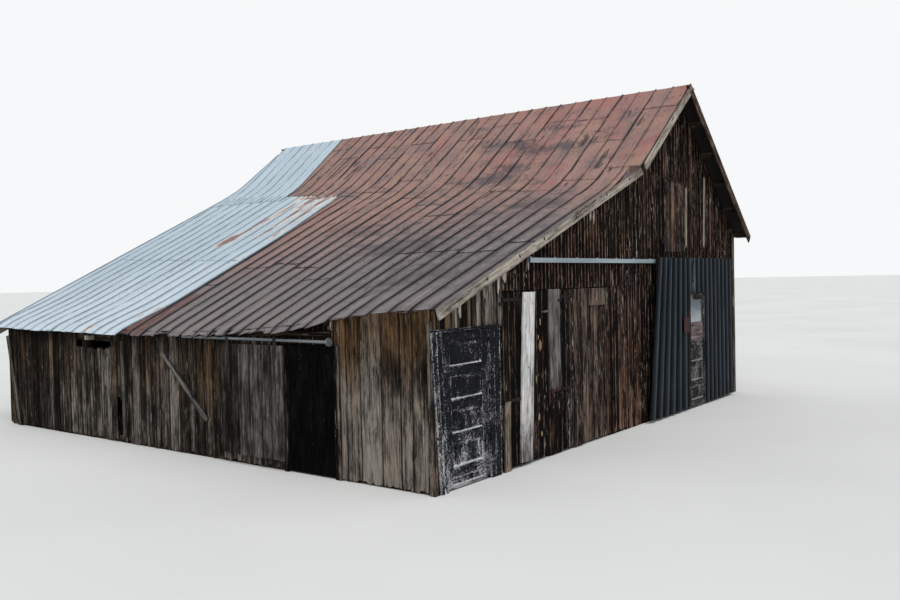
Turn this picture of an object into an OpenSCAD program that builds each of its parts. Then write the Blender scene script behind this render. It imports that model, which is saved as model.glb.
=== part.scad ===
// Old board barn with a crimped metal roof: a steep gable with a long
// shallower shed slope on its left, sagging behind the front wall.
// Lengths are in millimetres. X runs along the gable front, Y towards the
// back and Z up. Inside the file the zero point is the front left corner of
// the walls at the ground; each sub-part is then moved so that the middle
// of the overall footprint is the origin.

/* [Plan] */
// Width of the gable front, outside the boards
barn_w = 9500; // [8800:10:10400]
// Length of the side walls, outside the boards
barn_l = 9200; // [9000:10:9600]

/* [Roof] */
// Distance of the ridge from the right wall
ridge_in = 2845; // [2500:5:3000]
// Height of the ridge
ridge_z = 5430; // [5200:5:5800]
// Fall of the left main slope, in millimetres per metre
left_fall = 773; // [740:1:800]
// Fall of the right slope, in millimetres per metre
right_fall = 813; // [780:1:840]
// Where the left slope changes at the front, from the ridge
kink_front_in = 2305; // [2000:5:2500]
// Where the left slope changes at the back, from the ridge
kink_back_in = 1505; // [1300:5:1800]
// Overhang of the roof past the left wall
left_eave = 130; // [90:5:160]
// Overhang of the roof past the right wall
right_eave = 160; // [100:5:260]
// Overhang of the main roof past the front wall
front_eave = 290; // [240:5:340]
// Overhang of the shed slope past the front wall
shed_front_eave = 80; // [60:5:90]
// Overhang of the roof past the back wall
back_eave = 270; // [150:5:340]
// Cover width of one roofing sheet
sheet_w = 610; // [605:1:620]
// Thickness of the roofing sheet, plumb
sheet_t = 6; // [4:1:8]
// How far the upper sheets lap over the lower ones
sheet_lap = 150; // [100:5:200]
// Number of bright sheets in the upper course, at the back
upper_bright = 3; // [1:1:5]
// Number of bright sheets in the lower course, at the back
lower_bright = 6; // [3:1:8]
// Height of the crimp at the joint of two sheets
seam_h = 16; // [8:1:24]
// Height of the crimp in the middle of a sheet
crimp_h = 11; // [6:1:18]
// Half width of a crimp at its foot
crimp_half = 16; // [10:1:24]

/* [Timber] */
// Thickness of the wall boards
board_t = 25; // [20:1:32]
// Thickness of trim boards
trim_t = 20; // [16:1:24]
// Width and depth of sills and posts
post_w = 100; // [80:5:100]
// Plumb depth of the rafters
rafter_d = 90; // [80:1:110]
// Thickness of a rafter along the barn
rafter_t = 50; // [40:1:70]
// Plumb thickness of the roof laths
lath_t = 25; // [20:1:30]
// Plumb depth of the wall plates
plate_d = 80; // [70:1:90]
// Height of the rails and lintels that the boards are nailed to
girt_h = 100; // [70:5:120]
// Thickness of the rails and lintels
girt_t = 50; // [40:5:70]
// Plumb depth of the main rake boards
rake_d = 185; // [150:1:200]
// Plumb depth of the rake board of the shed slope
shed_rake_d = 125; // [100:1:150]

/* [Corner door] */
// Left edge of the doorway beside the front left corner
corner_x = 130; // [126:1:160]
// Width of the corner doorway
corner_w = 900; // [860:5:910]
// Height of the corner doorway
corner_h = 1740; // [1650:5:1760]
// Thickness of the panelled door
panel_door_t = 35; // [30:1:40]

/* [Plank doors] */
// Left edge of the first plank doorway
one_x = 1320; // [1300:5:1340]
// Width of the first plank doorway
one_w = 1070; // [1000:5:1080]
// Left edge of the second plank doorway
two_x = 2700; // [2680:5:2720]
// Width of the second plank doorway
two_w = 1390; // [1300:5:1420]
// Height of both plank doorways
plank_h = 2150; // [2050:5:2200]

/* [Main doorway] */
// Distance of the wide doorway from the right wall
main_in = 600; // [560:5:640]
// Width of the wide doorway
main_w = 3100; // [3040:5:3140]
// Height of the wide doorway
main_h = 2450; // [2300:5:2750]
// How far the sliding door laps past each side of its doorway
slide_lap = 155; // [120:5:200]
// How far the sliding door stands above its doorway
slide_over = 138; // [120:1:160]
// Travel of the sliding door
slide_run = 3300; // [3000:50:3350]
// Left edge of the small door, from the left edge of the wide doorway
wicket_in = 1080; // [1000:5:1150]
// Width of the small doorway in the sliding door
wicket_w = 760; // [720:5:800]
// Height of the small doorway in the sliding door
wicket_h = 1975; // [1900:5:2000]

/* [Side doors] */
// Front edge of the doorway in the left wall
side_y = 1470; // [1450:5:1490]
// Width of the doorway in the left wall
side_w = 790; // [760:5:810]
// Height of the doorway in the left wall
side_h = 1560; // [1500:5:1565]
// Width of the sliding plank door on the left wall
side_slide_w = 1180; // [1100:5:1250]
// Travel of the sliding plank door on the left wall
side_slide_run = 800; // [700:10:820]

/* [Loft door] */
// How far the door high in the gable reaches left of the ridge
loft_in = 505; // [450:5:600]
// Width of the door high in the gable
loft_w = 890; // [850:5:950]
// Height of the door high in the gable above the wide doorway
loft_rise = 230; // [200:5:300]
// Height of the door high in the gable
loft_h = 1190; // [1100:5:1250]

/* [Hidden] */

// Footprint, used to put the origin in its middle
roof_l = front_eave + barn_l + back_eave;
min_x = -left_eave;
max_x = barn_w + right_eave;
min_y = -front_eave;
max_y = barn_l + back_eave;
mid_x = (min_x + max_x) / 2;
mid_y = (min_y + max_y) / 2;

// Lines that the front is laid out from
ridge_x = barn_w - ridge_in;
kink_front_x = ridge_x - kink_front_in;
kink_back_x = ridge_x - kink_back_in;
main_x = barn_w - main_in - main_w;
wicket_x = main_x + wicket_in;
slide_top = main_h + slide_over;
loft_x = ridge_x - loft_in;
loft_z = main_h + loft_rise;

// Clearances
gap = 6;
pin_gap = 0.3;
hair = 0.3;

// Loose-pin hinges of the doors that swing inwards
knuckle_r = 7;
knuckle_pin_r = 4;
knuckle_h = 70;
lug_h = 8;
leaf_plate = 60;
plate_t = 3;

// Height of the shed eave at each sheet joint, counted from the front:
// it starts high on the front wall and sags behind it
eave_line = [[0, 1958], [1, 1935], [2, 1890], [3, 1820], [4, 1740], [6, 1650], [9, 1600], [16, 1650]];

// Share of the main slope and of the shed slope that the bend takes up
bend_up = 0.15;
bend_down = 0.10;
// Share down the main slope at which its front overhang ends
overhang_end = 0.86;

// The sheets are laid from the front, and the last one is cut to the roof's length
sheet_count = ceil(roof_l / sheet_w - 0.01);
upper_silver = sheet_count - upper_bright;
lower_silver = sheet_count - lower_bright;
// The first sheets of the lower course, up to where the eave has dropped
lower_middle = 4;

// Centres and half widths of the laths, as shares down the slope
main_lath_u = [0.04, 0.42, 0.80];
shed_lath_u = [1.16, 1.36, 1.56, 1.76, 1.93];
main_lath_half = 0.018;
shed_lath_half = 0.011;
right_lath_count = 6;
right_lath_in = 60;
right_lath_w = 80;

// Places of the rafters and of the inner posts along the barn
rafter_bays = 8;
rafter_y = [for (k = [0:rafter_bays]) board_t + rafter_t / 2
    + k * (barn_l - 2 * board_t - rafter_t) / rafter_bays];
post_bays = 4;
post_y = [for (k = [0:post_bays]) board_t + k * (barn_l - 2 * board_t - post_w) / post_bays];

// Heights of the rails: low ones on every wall, high ones on the right wall
low_rail_z = 1150;
high_rail_z = 2300;
side_rail_z = 800;

// Roof lines. Each returns [x, z] on top of the flat of the sheets.
function main_z(x) = ridge_z - (ridge_x - x) * left_fall / 1000;
function right_z(x) = ridge_z - (x - ridge_x) * right_fall / 1000;
function along(y) = (y - min_y) / sheet_w;
function kink_x(y) = kink_front_x + (kink_back_x - kink_front_x) * (y - min_y) / roof_l;
function kink(y) = [kink_x(y), main_z(kink_x(y))];
function eave(y) = [-left_eave, lookup(along(y), eave_line)];
function ridge() = [ridge_x, ridge_z];
function mix(a, b, t) = a + (b - a) * t;
function straight(u, y) = u <= 1 ? mix(ridge(), kink(y), u) : mix(kink(y), eave(y), u - 1);
function bent(u, y) = let (s = (u - 1 + bend_up) / (bend_up + bend_down))
    s <= 0 || s >= 1 ? straight(u, y) :
    (1 - s) * (1 - s) * straight(1 - bend_up, y) + 2 * s * (1 - s) * kink(y)
    + s * s * straight(1 + bend_down, y);
// Share down the slope at which the shed slope is at distance x from the wall
function shed_u(x, y) = 1 + (kink_x(y) - x) / (kink_x(y) + left_eave);
function shed_z(x, y) = straight(shed_u(x, y), y)[1];
function under_sheet(z) = z - sheet_t - hair;
function under_lath(z) = under_sheet(z) - lath_t - hair;
function under_rafter(z) = under_lath(z) - rafter_d;

// Where the roof's long timbers are bent to follow it: at the sheet joints between y0 and y1
function bends(y0, y1) = concat([y0], [for (i = [1:sheet_count]) let (y = min_y + i * sheet_w)
    if (y > y0 + 1 && y < y1 - 1) y], [y1]);

// Every sub-part is drawn in wall coordinates and moved to the origin here
module placed() { translate([-mid_x, -mid_y, 0]) children(); }

// A slab between y0 and y1 with an outline in X and Z
module slab_xz(points, y0, y1) {
    translate([0, y1, 0]) rotate([90, 0, 0]) linear_extrude(height = y1 - y0) polygon(points);
}

// A slab between x0 and x1 with an outline in Y and Z
module slab_yz(points, x0, x1) {
    translate([x0, 0, 0]) rotate([90, 0, 90]) linear_extrude(height = x1 - x0) polygon(points);
}

module block(x0, y0, z0, x1, y1, z1) {
    translate([x0, y0, z0]) cube([x1 - x0, y1 - y0, z1 - z0]);
}

// A skin through closed outlines: rings is a list of [y, [[x, z], ...]]
module loft(rings) {
    n = len(rings[0][1]);
    last = len(rings) - 1;
    points = [for (r = rings) for (p = r[1]) [p[0], r[0], p[1]]];
    sides = [for (k = [0:last - 1]) for (i = [0:n - 1]) let (j = (i + 1) % n)
        each [[k * n + i, k * n + j, (k + 1) * n + j], [k * n + i, (k + 1) * n + j, (k + 1) * n + i]]];
    front = [[for (i = [n - 1:-1:0]) i]];
    back = [[for (i = [0:n - 1]) last * n + i]];
    polyhedron(points = points, faces = concat(sides, front, back), convexity = 6);
}

// Outline through shares down the slope, each [share, rise], top and bottom plumb apart
function strip(us, y, top, depth) = concat(
    [for (u = us) bent(u[0], y) + [0, top + u[1]]],
    [for (k = [len(us) - 1:-1:0]) bent(us[k][0], y) + [0, top + us[k][1] - depth]]);

// Crimped surface along the barn, each [y, rise, sheet]. Two rows close together at
// a joint let neighbouring sheets end at different places.
seam_gap = 0.25;
function crimps(first, last) = [for (i = [first:last]) let (y = min_y + i * sheet_w,
    middle = y + sheet_w / 2, end = min(y + sheet_w, max_y), rows = [[y + seam_gap, seam_h],
        [y + crimp_half, 0], [middle - crimp_half * 0.8, 0], [middle, crimp_h],
        [middle + crimp_half * 0.8, 0], [y + sheet_w - crimp_half, 0]])
    each concat([for (r = rows) if (r[0] < end - 1) [r[0], r[1], i]], [[end - seam_gap, seam_h, i]])];

// The lower ends of the upper sheets ride up over the lower sheets
lap_share = sheet_lap / (kink_front_x + left_eave);
lap_end = 1.075;
lap_start = lap_end - lap_share;
lap_rise = sheet_t + hair;
upper_us = [[overhang_end + 0.001, 0], [0.90, 0], [0.95, 0], [1.0, 0], [lap_start - 0.012, 0],
    [lap_start, lap_rise], [lap_end, lap_rise]];
// The eave is uneven, and short over the corner door
function eave_u(i) = i < 3 ? 1.975 : 2 - 0.003 * ((i * 7) % 5);
function lower_us(i) = concat([[lap_start + 0.001, 0], [lap_end, 0], [1 + bend_down, 0]],
    [for (u = shed_lath_u) each [[u - shed_lath_half, 0], [u + shed_lath_half, 0]]], [[eave_u(i), 0]]);

// Sheets of the upper or lower course on the bent and sagging left slope
module bent_sheets(first, last, upper, from_y) {
    rows = [for (c = crimps(first, last)) if (c[0] > from_y) c];
    start = from_y > min_y + first * sheet_w ? [[from_y, 0, first]] : [];
    loft([for (c = concat(start, rows)) [c[0],
        strip(upper ? upper_us : lower_us(c[2]), c[0], c[1], sheet_t)]]);
}

// Cross-section of flat crimped sheets, to be pushed down a straight slope
module crimped_section(first, last, t) {
    rows = crimps(first, last);
    polygon(concat([for (c = rows) [c[0], c[1]]],
        [for (k = [len(rows) - 1:-1:0]) [rows[k][0], rows[k][1] - t]]));
}

// Flat crimped sheets on a slope that falls away from the ridge on side +1 or -1
module flat_sheets(first, last, side, fall, run) {
    angle = atan(fall / 1000);
    over = 40;
    translate([ridge_x, 0, ridge_z]) rotate([0, side * (90 + angle), 0]) translate([0, 0, -over])
        linear_extrude(height = run / cos(angle) + over)
            rotate(90) mirror([0, side > 0 ? 0 : 1]) crimped_section(first, last, sheet_t * cos(angle));
}

// Part of the plan between two lines down the left main slope
module main_plan(first, last) {
    y0 = min_y + first * sheet_w;
    y1 = min(min_y + (last + 1) * sheet_w, max_y);
    linear_extrude(height = ridge_z + 100) polygon([[ridge_x, y0], [ridge_x, y1],
        [straight(overhang_end, y1)[0], y1], [straight(overhang_end, y0)[0], y0]]);
}

module upper_course(first, last) {
    intersection() {
        flat_sheets(first, last, -1, left_fall, ridge_x - kink_front_x);
        main_plan(first, last);
    }
    bent_sheets(first, last, true, first == 0 ? -shed_front_eave : min_y);
}

module upper_sheets_rusty() { color("#7a4a3f") placed() upper_course(0, upper_silver - 1); }
module upper_sheets_silver() { color("#b9c4cc") placed() upper_course(upper_silver, sheet_count - 1); }
module lower_sheets_front() {
    color("#5f4a44") placed() bent_sheets(0, lower_middle - 1, false, -shed_front_eave);
}
module lower_sheets_rusty() {
    color("#5f4a44") placed() bent_sheets(lower_middle, lower_silver - 1, false, min_y);
}
module lower_sheets_silver() {
    color("#c3cdd4") placed() bent_sheets(lower_silver, sheet_count - 1, false, min_y);
}
module right_sheets() {
    color("#6d443b") placed() intersection() {
        flat_sheets(0, sheet_count - 1, 1, right_fall, max_x - ridge_x);
        block(ridge_x, min_y, 0, max_x, max_y, ridge_z + 100);
    }
}

// Laths on the main slopes run out to the rake boards at both ends
module main_laths() {
    y0 = min_y + board_t;
    y1 = max_y - board_t;
    color("#4a3b30") placed() {
        for (u = main_lath_u)
            loft([for (y = [y0, y1]) [y, strip([[u - main_lath_half, 0], [u + main_lath_half, 0]], y,
                under_sheet(0), lath_t)]]);
        for (k = [0:right_lath_count - 1]) let (b = max_x - right_lath_in - k * (max_x - ridge_x
            - 2 * right_lath_in - right_lath_w) / (right_lath_count - 1), a = b - right_lath_w)
            slab_xz([[a, under_sheet(right_z(a))], [b, under_sheet(right_z(b))],
                [b, under_sheet(right_z(b)) - lath_t], [a, under_sheet(right_z(a)) - lath_t]], y0, y1);
    }
}

// Laths on the shed slope follow its sag, sheet by sheet
module shed_laths() {
    color("#4a3b30") placed() for (u = shed_lath_u)
        loft([for (y = bends(-shed_front_eave + board_t, max_y - board_t)) [y,
            strip([[u - shed_lath_half, 0], [u + shed_lath_half, 0]], y, under_sheet(0), lath_t)]]);
}

// Rafters of the steep roof, in pairs that meet at the ridge
module main_rafters() {
    left_top = main_z(ridge_x - hair);
    right = [ridge_x + hair, barn_w - board_t - hair];
    color("#5a4636") placed() for (y = rafter_y) {
        loft([for (s = [y - rafter_t / 2, y + rafter_t / 2]) let (x = kink_x(s) + hair) [s, [
            [ridge_x - hair, under_lath(left_top)], [x, under_lath(main_z(x))],
            [x, under_rafter(main_z(x))], [ridge_x - hair, under_rafter(left_top)]]]]);
        slab_xz([[right[0], under_lath(right_z(right[0]))], [right[1], under_lath(right_z(right[1]))],
            [right[1], under_rafter(right_z(right[1]))], [right[0], under_rafter(right_z(right[0]))]],
            y - rafter_t / 2, y + rafter_t / 2);
    }
}

// Rafters of the shed slope, from the inner plate to the left wall
module shed_rafters() {
    foot = board_t + hair;
    color("#5a4636") placed() for (y = rafter_y)
        loft([for (s = [y - rafter_t / 2, y + rafter_t / 2]) let (x = kink_x(s) - hair,
            top = shed_z(x, s), low = shed_z(foot, s)) [s, [[x, under_lath(top)],
            [foot, under_lath(low)], [foot, under_rafter(low)], [x, under_rafter(top)]]]]);
}

// Plate under the bend, carried by the inner posts
module inner_plate() {
    h = post_w / 2;
    color("#5a4636") placed() loft([for (y = bends(board_t, barn_l - board_t)) let (k = kink(y)) [y, [
        [k[0] + h, under_rafter(main_z(k[0] + h)) - hair], [k[0], under_rafter(k[1]) - hair],
        [k[0] - h, under_rafter(shed_z(k[0] - h, y)) - hair],
        [k[0] - h, inner_plate_foot(y)], [k[0] + h, inner_plate_foot(y)]]]]);
}
function inner_plate_foot(y) = under_rafter(kink(y)[1]) - plate_d - post_w / 2;

// Plates on the side walls; the left one sags with the eave
module wall_plates() {
    left = [board_t, board_t + post_w];
    right = [barn_w - board_t - post_w, barn_w - board_t];
    color("#5a4636") placed() {
        loft([for (y = bends(board_t, barn_l - board_t)) [y, [
            [left[1], under_rafter(shed_z(left[1], y)) - hair],
            [left[0], under_rafter(shed_z(left[0], y)) - hair],
            [left[0], left_plate_foot(y)], [left[1], left_plate_foot(y)]]]]);
        slab_xz([[right[0], under_rafter(right_z(right[0])) - hair],
            [right[1], under_rafter(right_z(right[1])) - hair],
            [right[1], right_plate_foot], [right[0], right_plate_foot]], board_t, barn_l - board_t);
    }
}
function left_plate_foot(y) = under_rafter(shed_z(board_t, y)) - plate_d;
right_plate_foot = under_rafter(right_z(barn_w - board_t)) - plate_d;

// Sills lie on the ground inside the boards and stop at the doorways
front_solid = [[board_t, corner_x], [corner_x + corner_w, one_x], [one_x + one_w, two_x],
    [two_x + two_w, main_x], [main_x + main_w, barn_w - board_t]];
module sill_beams() {
    i = board_t;
    color("#4d3d31") placed() {
        for (s = front_solid) block(s[0], i, 0, s[1], i + post_w, post_w);
        block(i, i + post_w + hair, 0, i + post_w, side_y, post_w);
        block(i, side_y + side_w, 0, i + post_w, barn_l - i - post_w - hair, post_w);
        block(barn_w - i - post_w, i + post_w + hair, 0, barn_w - i, barn_l - i - post_w - hair, post_w);
        block(i, barn_l - i - post_w, 0, barn_w - i, barn_l - i, post_w);
    }
}

// Underside of the end rafter over a front or back post that spans x to x + w,
// and of the left plate over a post that spans y to y + w
function under_end_rafter(x, w, y) = under_rafter(x + w > ridge_x ? right_z(x + w)
    : x < kink_x(y) ? min(shed_z(x, y), shed_z(x, y + rafter_t)) : main_z(x)) - hair;
function under_left_plate(y, w) = min(left_plate_foot(y), left_plate_foot(y + w)) - hair;

// Left edge and width of each front post beside a doorway
front_posts = [[corner_x + corner_w, post_w], [one_x + one_w, two_x - one_x - one_w],
    [two_x + two_w, post_w], [main_x - post_w, post_w], [main_x + main_w, post_w]];
back_posts = [(board_t + kink_back_x) / 2, (kink_back_x + barn_w) / 2];
front_frame_y = rafter_y[0] - rafter_t / 2;
back_frame_y = barn_l - board_t;
back_rafter_y = back_frame_y - rafter_t;

// Posts stand on the sills in the corners, beside the doorways and along the walls
module wall_posts() {
    i = board_t;
    w = post_w;
    right_x = barn_w - i - w;
    color("#54402f") placed() {
        for (y = post_y) block(right_x, y, w, right_x + w, y + w, right_plate_foot);
        for (y = post_y) if (y < side_y - 2 * w || y > side_y + side_w + w)
            block(i, y, w, i + w, y + w, under_left_plate(y, w));
        for (y = [side_y - w, side_y + side_w]) block(i, y, w, i + w, y + w, under_left_plate(y, w));
        for (p = front_posts) block(p[0], i, w, p[0] + p[1], i + w,
            under_end_rafter(p[0], p[1], front_frame_y));
        for (x = back_posts) block(x, back_frame_y - w, w, x + w, back_frame_y,
            under_end_rafter(x, w, back_rafter_y));
    }
}

// Posts under the inner plate
module inner_posts() {
    color("#54402f") placed() for (y = post_y) {
        x = kink_x(y);
        on_sill = y <= board_t || y >= barn_l - board_t - post_w;
        block(x - post_w / 2, y, on_sill ? post_w : 0, x + post_w / 2, y + post_w,
            min(inner_plate_foot(y), inner_plate_foot(y + post_w)));
    }
}

// Rails and lintels between the posts, flat behind the boards
front_rails = [[board_t + post_w, corner_x + corner_w, corner_h],
    [corner_x + corner_w + post_w, one_x + one_w, plank_h], [two_x, two_x + two_w, plank_h],
    [kink_x(board_t) + post_w / 2, main_x - post_w, plank_h],
    [kink_x(board_t) + post_w / 2, main_x - post_w, low_rail_z],
    [main_x, main_x + main_w, main_h],
    [main_x + main_w + post_w, barn_w - board_t - post_w, main_h],
    [main_x + main_w + post_w, barn_w - board_t - post_w, low_rail_z]];
back_rail_x = [board_t + post_w, back_posts[0], back_posts[0] + post_w,
    kink_x(post_y[post_bays]) - post_w / 2, kink_x(post_y[post_bays]) + post_w / 2, back_posts[1],
    back_posts[1] + post_w, barn_w - board_t - post_w];
module wall_rails() {
    back = barn_l - board_t;
    color("#54402f") placed() {
        for (r = front_rails) block(r[0] + hair, board_t, r[2], r[1] - hair, board_t + girt_t, r[2] + girt_h);
        for (k = [0:2:len(back_rail_x) - 2], z = k > 2 ? [low_rail_z, high_rail_z] : [low_rail_z])
            block(back_rail_x[k] + hair, back - girt_t, z, back_rail_x[k + 1] - hair, back, z + girt_h);
        for (k = [0:post_bays - 1], z = [low_rail_z, high_rail_z])
            block(barn_w - board_t - girt_t, post_y[k] + post_w + hair, z, barn_w - board_t,
                post_y[k + 1] - hair, z + girt_h);
        block(board_t, board_t + post_w + hair, side_rail_z, board_t + girt_t, side_y - post_w - hair,
            side_rail_z + girt_h);
        block(board_t, side_y + side_w + post_w + hair, side_rail_z, board_t + girt_t, post_y[2] - hair,
            side_rail_z + girt_h);
        for (k = [2:post_bays - 1]) block(board_t, post_y[k] + post_w + hair, side_rail_z,
            board_t + girt_t, post_y[k + 1] - hair, side_rail_z + girt_h);
    }
}

// Rake boards close the ends of the roof under the sheets. This is one on a straight
// slope: its two top corners, with its lower end cut back.
module rake_board(top, end, y0) {
    cut = sign(top[0] - end[0]) * rake_d * 0.55;
    fall = (top[1] - end[1]) / (top[0] - end[0]);
    slab_xz([[top[0], under_sheet(top[1])], [end[0], under_sheet(end[1])],
        [end[0] + cut, under_sheet(end[1] + cut * fall) - rake_d],
        [top[0], under_sheet(top[1]) - rake_d]], y0, y0 + board_t);
}
module main_rake_boards() {
    left = ridge_x - hair;
    right = ridge_x + hair;
    end = straight(overhang_end, min_y);
    color("#8d8378") placed() {
        rake_board([left, main_z(left)], end, min_y);
        rake_board([right, right_z(right)], [max_x, right_z(max_x)], min_y);
    }
}

// The rake board of the shed slope runs on straight past the bend, under the overhang
shed_rake_past = 760;
shed_rake_foot = -30;
module shed_rake_board() {
    cut = shed_rake_foot + shed_rake_d * 0.6;
    color("#8d8378") placed()
        loft([for (y = [-shed_front_eave, -shed_front_eave + board_t]) let (top_x = kink_x(y) + shed_rake_past,
            slope = (kink(y)[1] - eave(y)[1]) / (kink_x(y) + left_eave),
            top_z = shed_z(0, y) + top_x * slope) [y, [[top_x, under_sheet(top_z)],
            [shed_rake_foot, under_sheet(shed_z(shed_rake_foot, y))],
            [cut, under_sheet(shed_z(cut, y)) - shed_rake_d],
            [top_x, under_sheet(top_z) - shed_rake_d]]]]);
}

module back_rake_boards() {
    y = max_y - board_t;
    left = ridge_x - hair;
    right = ridge_x + hair;
    bend = kink(y);
    low = eave(y);
    color("#6f655b") placed() {
        slab_xz([[left, under_sheet(main_z(left))], [bend[0] + hair, under_sheet(bend[1])],
            [bend[0] + hair, under_sheet(bend[1]) - rake_d], [left, under_sheet(main_z(left)) - rake_d]],
            y, max_y);
        slab_xz([[bend[0], under_sheet(bend[1])], [low[0], under_sheet(low[1])],
            [low[0], under_sheet(low[1]) - rake_d], [bend[0], under_sheet(bend[1]) - rake_d]], y, max_y);
        rake_board([right, right_z(right)], [max_x, right_z(max_x)], y);
    }
}

// Underside of the laths over the front wall
wall_y = board_t;
function wall_top(x, y) = under_lath(x < kink_x(y) ? min(shed_z(x, y), shed_z(x, y - board_t)) : main_z(x));
function front_top(x) = wall_top(x, wall_y) - hair;

module front_wall_over_corner_door() {
    color("#4a392c") placed() slab_xz([[0, corner_h], [one_x, corner_h], [one_x, front_top(one_x)],
        [0, front_top(0)]], 0, board_t);
}
module front_wall_post_board() {
    color("#6c655d") placed() block(one_x + one_w, 0, 0, two_x, board_t, plank_h);
}
module front_wall_middle() {
    color("#463529") placed() block(two_x + two_w, 0, 0, main_x, board_t, plank_h);
}
// Narrow stretches of wall beside the corner door and right of the wide doorway
module front_wall_ends() {
    color("#4a392c") placed() {
        block(0, 0, 0, corner_x, board_t, corner_h);
        block(corner_x + corner_w, 0, 0, one_x, board_t, corner_h);
        block(main_x + main_w, 0, 0, barn_w, board_t, main_h);
    }
}

// Boards above the doorways up to the laths, with the loft door cut out
module front_gable() {
    color("#3f3027") placed() difference() {
        slab_xz([[one_x, plank_h], [main_x, plank_h], [main_x, main_h], [barn_w, main_h],
            [barn_w, under_lath(right_z(barn_w))], [ridge_x, under_lath(ridge_z)],
            [kink_x(wall_y), front_top(kink_x(wall_y))], [one_x, front_top(one_x)]], 0, board_t);
        block(loft_x, -1, loft_z, loft_x + loft_w, board_t + 1, loft_z + loft_h);
    }
}

// The loft door is shut in its opening: boards, ledges behind and two straps
loft_proud = 10;
loft_strap = [420, 45];
loft_ledge_h = 100;
module loft_door() {
    color("#4b3b30") placed() union() {
        block(loft_x + hair, -loft_proud, loft_z + hair, loft_x + loft_w - hair, board_t - loft_proud,
            loft_z + loft_h - hair);
        for (z = [loft_z + 0.12 * loft_h, loft_z + 0.85 * loft_h]) {
            block(loft_x + trim_t, -loft_proud - strap_t, z, loft_x + loft_strap[0], -loft_proud,
                z + loft_strap[1]);
            block(loft_x + trim_t, board_t - loft_proud, z - loft_ledge_h / 2, loft_x + loft_w - trim_t,
                board_t - loft_proud + ledge_t, z + loft_ledge_h / 2);
        }
    }
}

// Left wall boards reach up to the sheets and follow the sag of the eave
function left_top(y) = under_sheet(shed_z(0, y));
module left_panel(y0, y1, foot) {
    ys = bends(y0, y1);
    slab_yz(concat([for (k = [len(ys) - 1:-1:0]) [ys[k], left_top(ys[k])]], [[y0, foot], [y1, foot]]),
        0, board_t);
}
module left_wall_front() { color("#5d4a3a") placed() left_panel(board_t, side_y, 0); }
module left_wall_over_door() { color("#54422f") placed() left_panel(side_y, side_y + side_w, side_h); }

// The back stretch leans at its far end, and boards are missing under the eave and at the foot
left_wall_lean = 350;
eave_hole = [6100, 7050, 1400];
foot_hole = [5800, 5960, 620];
module left_wall_back() {
    far = barn_l - board_t;
    color("#4d4036") placed() difference() {
        left_panel(side_y + side_w, far, 0);
        slab_yz([[far - left_wall_lean, -1], [far + 1, -1], [far + 1, left_top(far)]], -1, board_t + 1);
        block(-1, eave_hole[0], eave_hole[2], board_t + 1, eave_hole[1], left_top(0));
        block(-1, foot_hole[0], -1, board_t + 1, foot_hole[1], foot_hole[2]);
    }
}

module right_wall() {
    color("#4c3c30") placed() slab_yz([[board_t, 0], [barn_l - board_t, 0],
        [barn_l - board_t, under_lath(right_z(barn_w))], [board_t, under_lath(right_z(barn_w))]],
        barn_w - board_t, barn_w);
}

module back_wall() {
    y = barn_l - board_t;
    color("#4a3b30") placed() slab_xz([[0, 0], [barn_w, 0], [barn_w, under_lath(right_z(barn_w))],
        [ridge_x, under_lath(ridge_z)], [kink_x(y), wall_top(kink_x(y), y) - hair],
        [0, wall_top(0, barn_l) - hair]], y, barn_l);
}

// Trim boards over the corners
corner_board_w = 120;
module corner_boards() {
    w = corner_board_w;
    right_top = right_plate_foot;
    color("#6b6055") placed() {
        block(-trim_t, 0, 0, 0, w, left_top(w) - lath_t - sheet_t);
        block(barn_w - w, -trim_t, 0, barn_w, 0, right_top);
        block(barn_w, -trim_t, 0, barn_w + trim_t, w, right_top);
    }
}

corner_casing_w = 215;
drip_h = 30;
module corner_door_casing() {
    jamb = corner_x + corner_w;
    color("#1d1c1e") placed() {
        block(0, -trim_t, 0, corner_x, 0, corner_h);
        block(jamb, -trim_t, 0, jamb + corner_casing_w, 0, corner_h);
        block(0, -trim_t, corner_h + hair, jamb + corner_casing_w, 0, corner_h + drip_h);
    }
}
side_casing_w = [100, 80];
module side_door_casing() {
    color("#2a2725") placed() {
        block(-trim_t, side_y - side_casing_w[0], 0, 0, side_y, side_h);
        block(-trim_t, side_y + side_w, 0, 0, side_y + side_w + side_casing_w[1], side_h);
    }
}

// Track of the big sliding door: a box rail with a slot along its underside
track_past = 445;
track_x0 = main_x - slide_lap - slide_run - track_past;
track_x1 = main_x + main_w + slide_lap;
track_z = main_h + 40;
track_h = 60;
track_y0 = -54;
track_y1 = -10;
track_wall = 4;
track_slot = 14;
track_mid = (track_y0 + track_y1) / 2;
bracket_pitch = 597;
module door_track() {
    color("#9aa3ab") placed() union() {
        difference() {
            block(track_x0, track_y0, track_z, track_x1, track_y1, track_z + track_h);
            block(track_x0 - 1, track_y0 + track_wall, track_z + track_wall, track_x1 + 1,
                track_y1 - track_wall, track_z + track_h - track_wall);
            block(track_x0 - 1, track_mid - track_slot / 2, track_z - 1, track_x1 + 1,
                track_mid + track_slot / 2, track_z + track_wall + 1);
        }
        for (x = [track_x0 + 60:bracket_pitch:track_x1 - 40])
            block(x, track_y1 - 0.5, track_z + 10, x + 45, 0, track_z + track_h + 14);
    }
}

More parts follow.
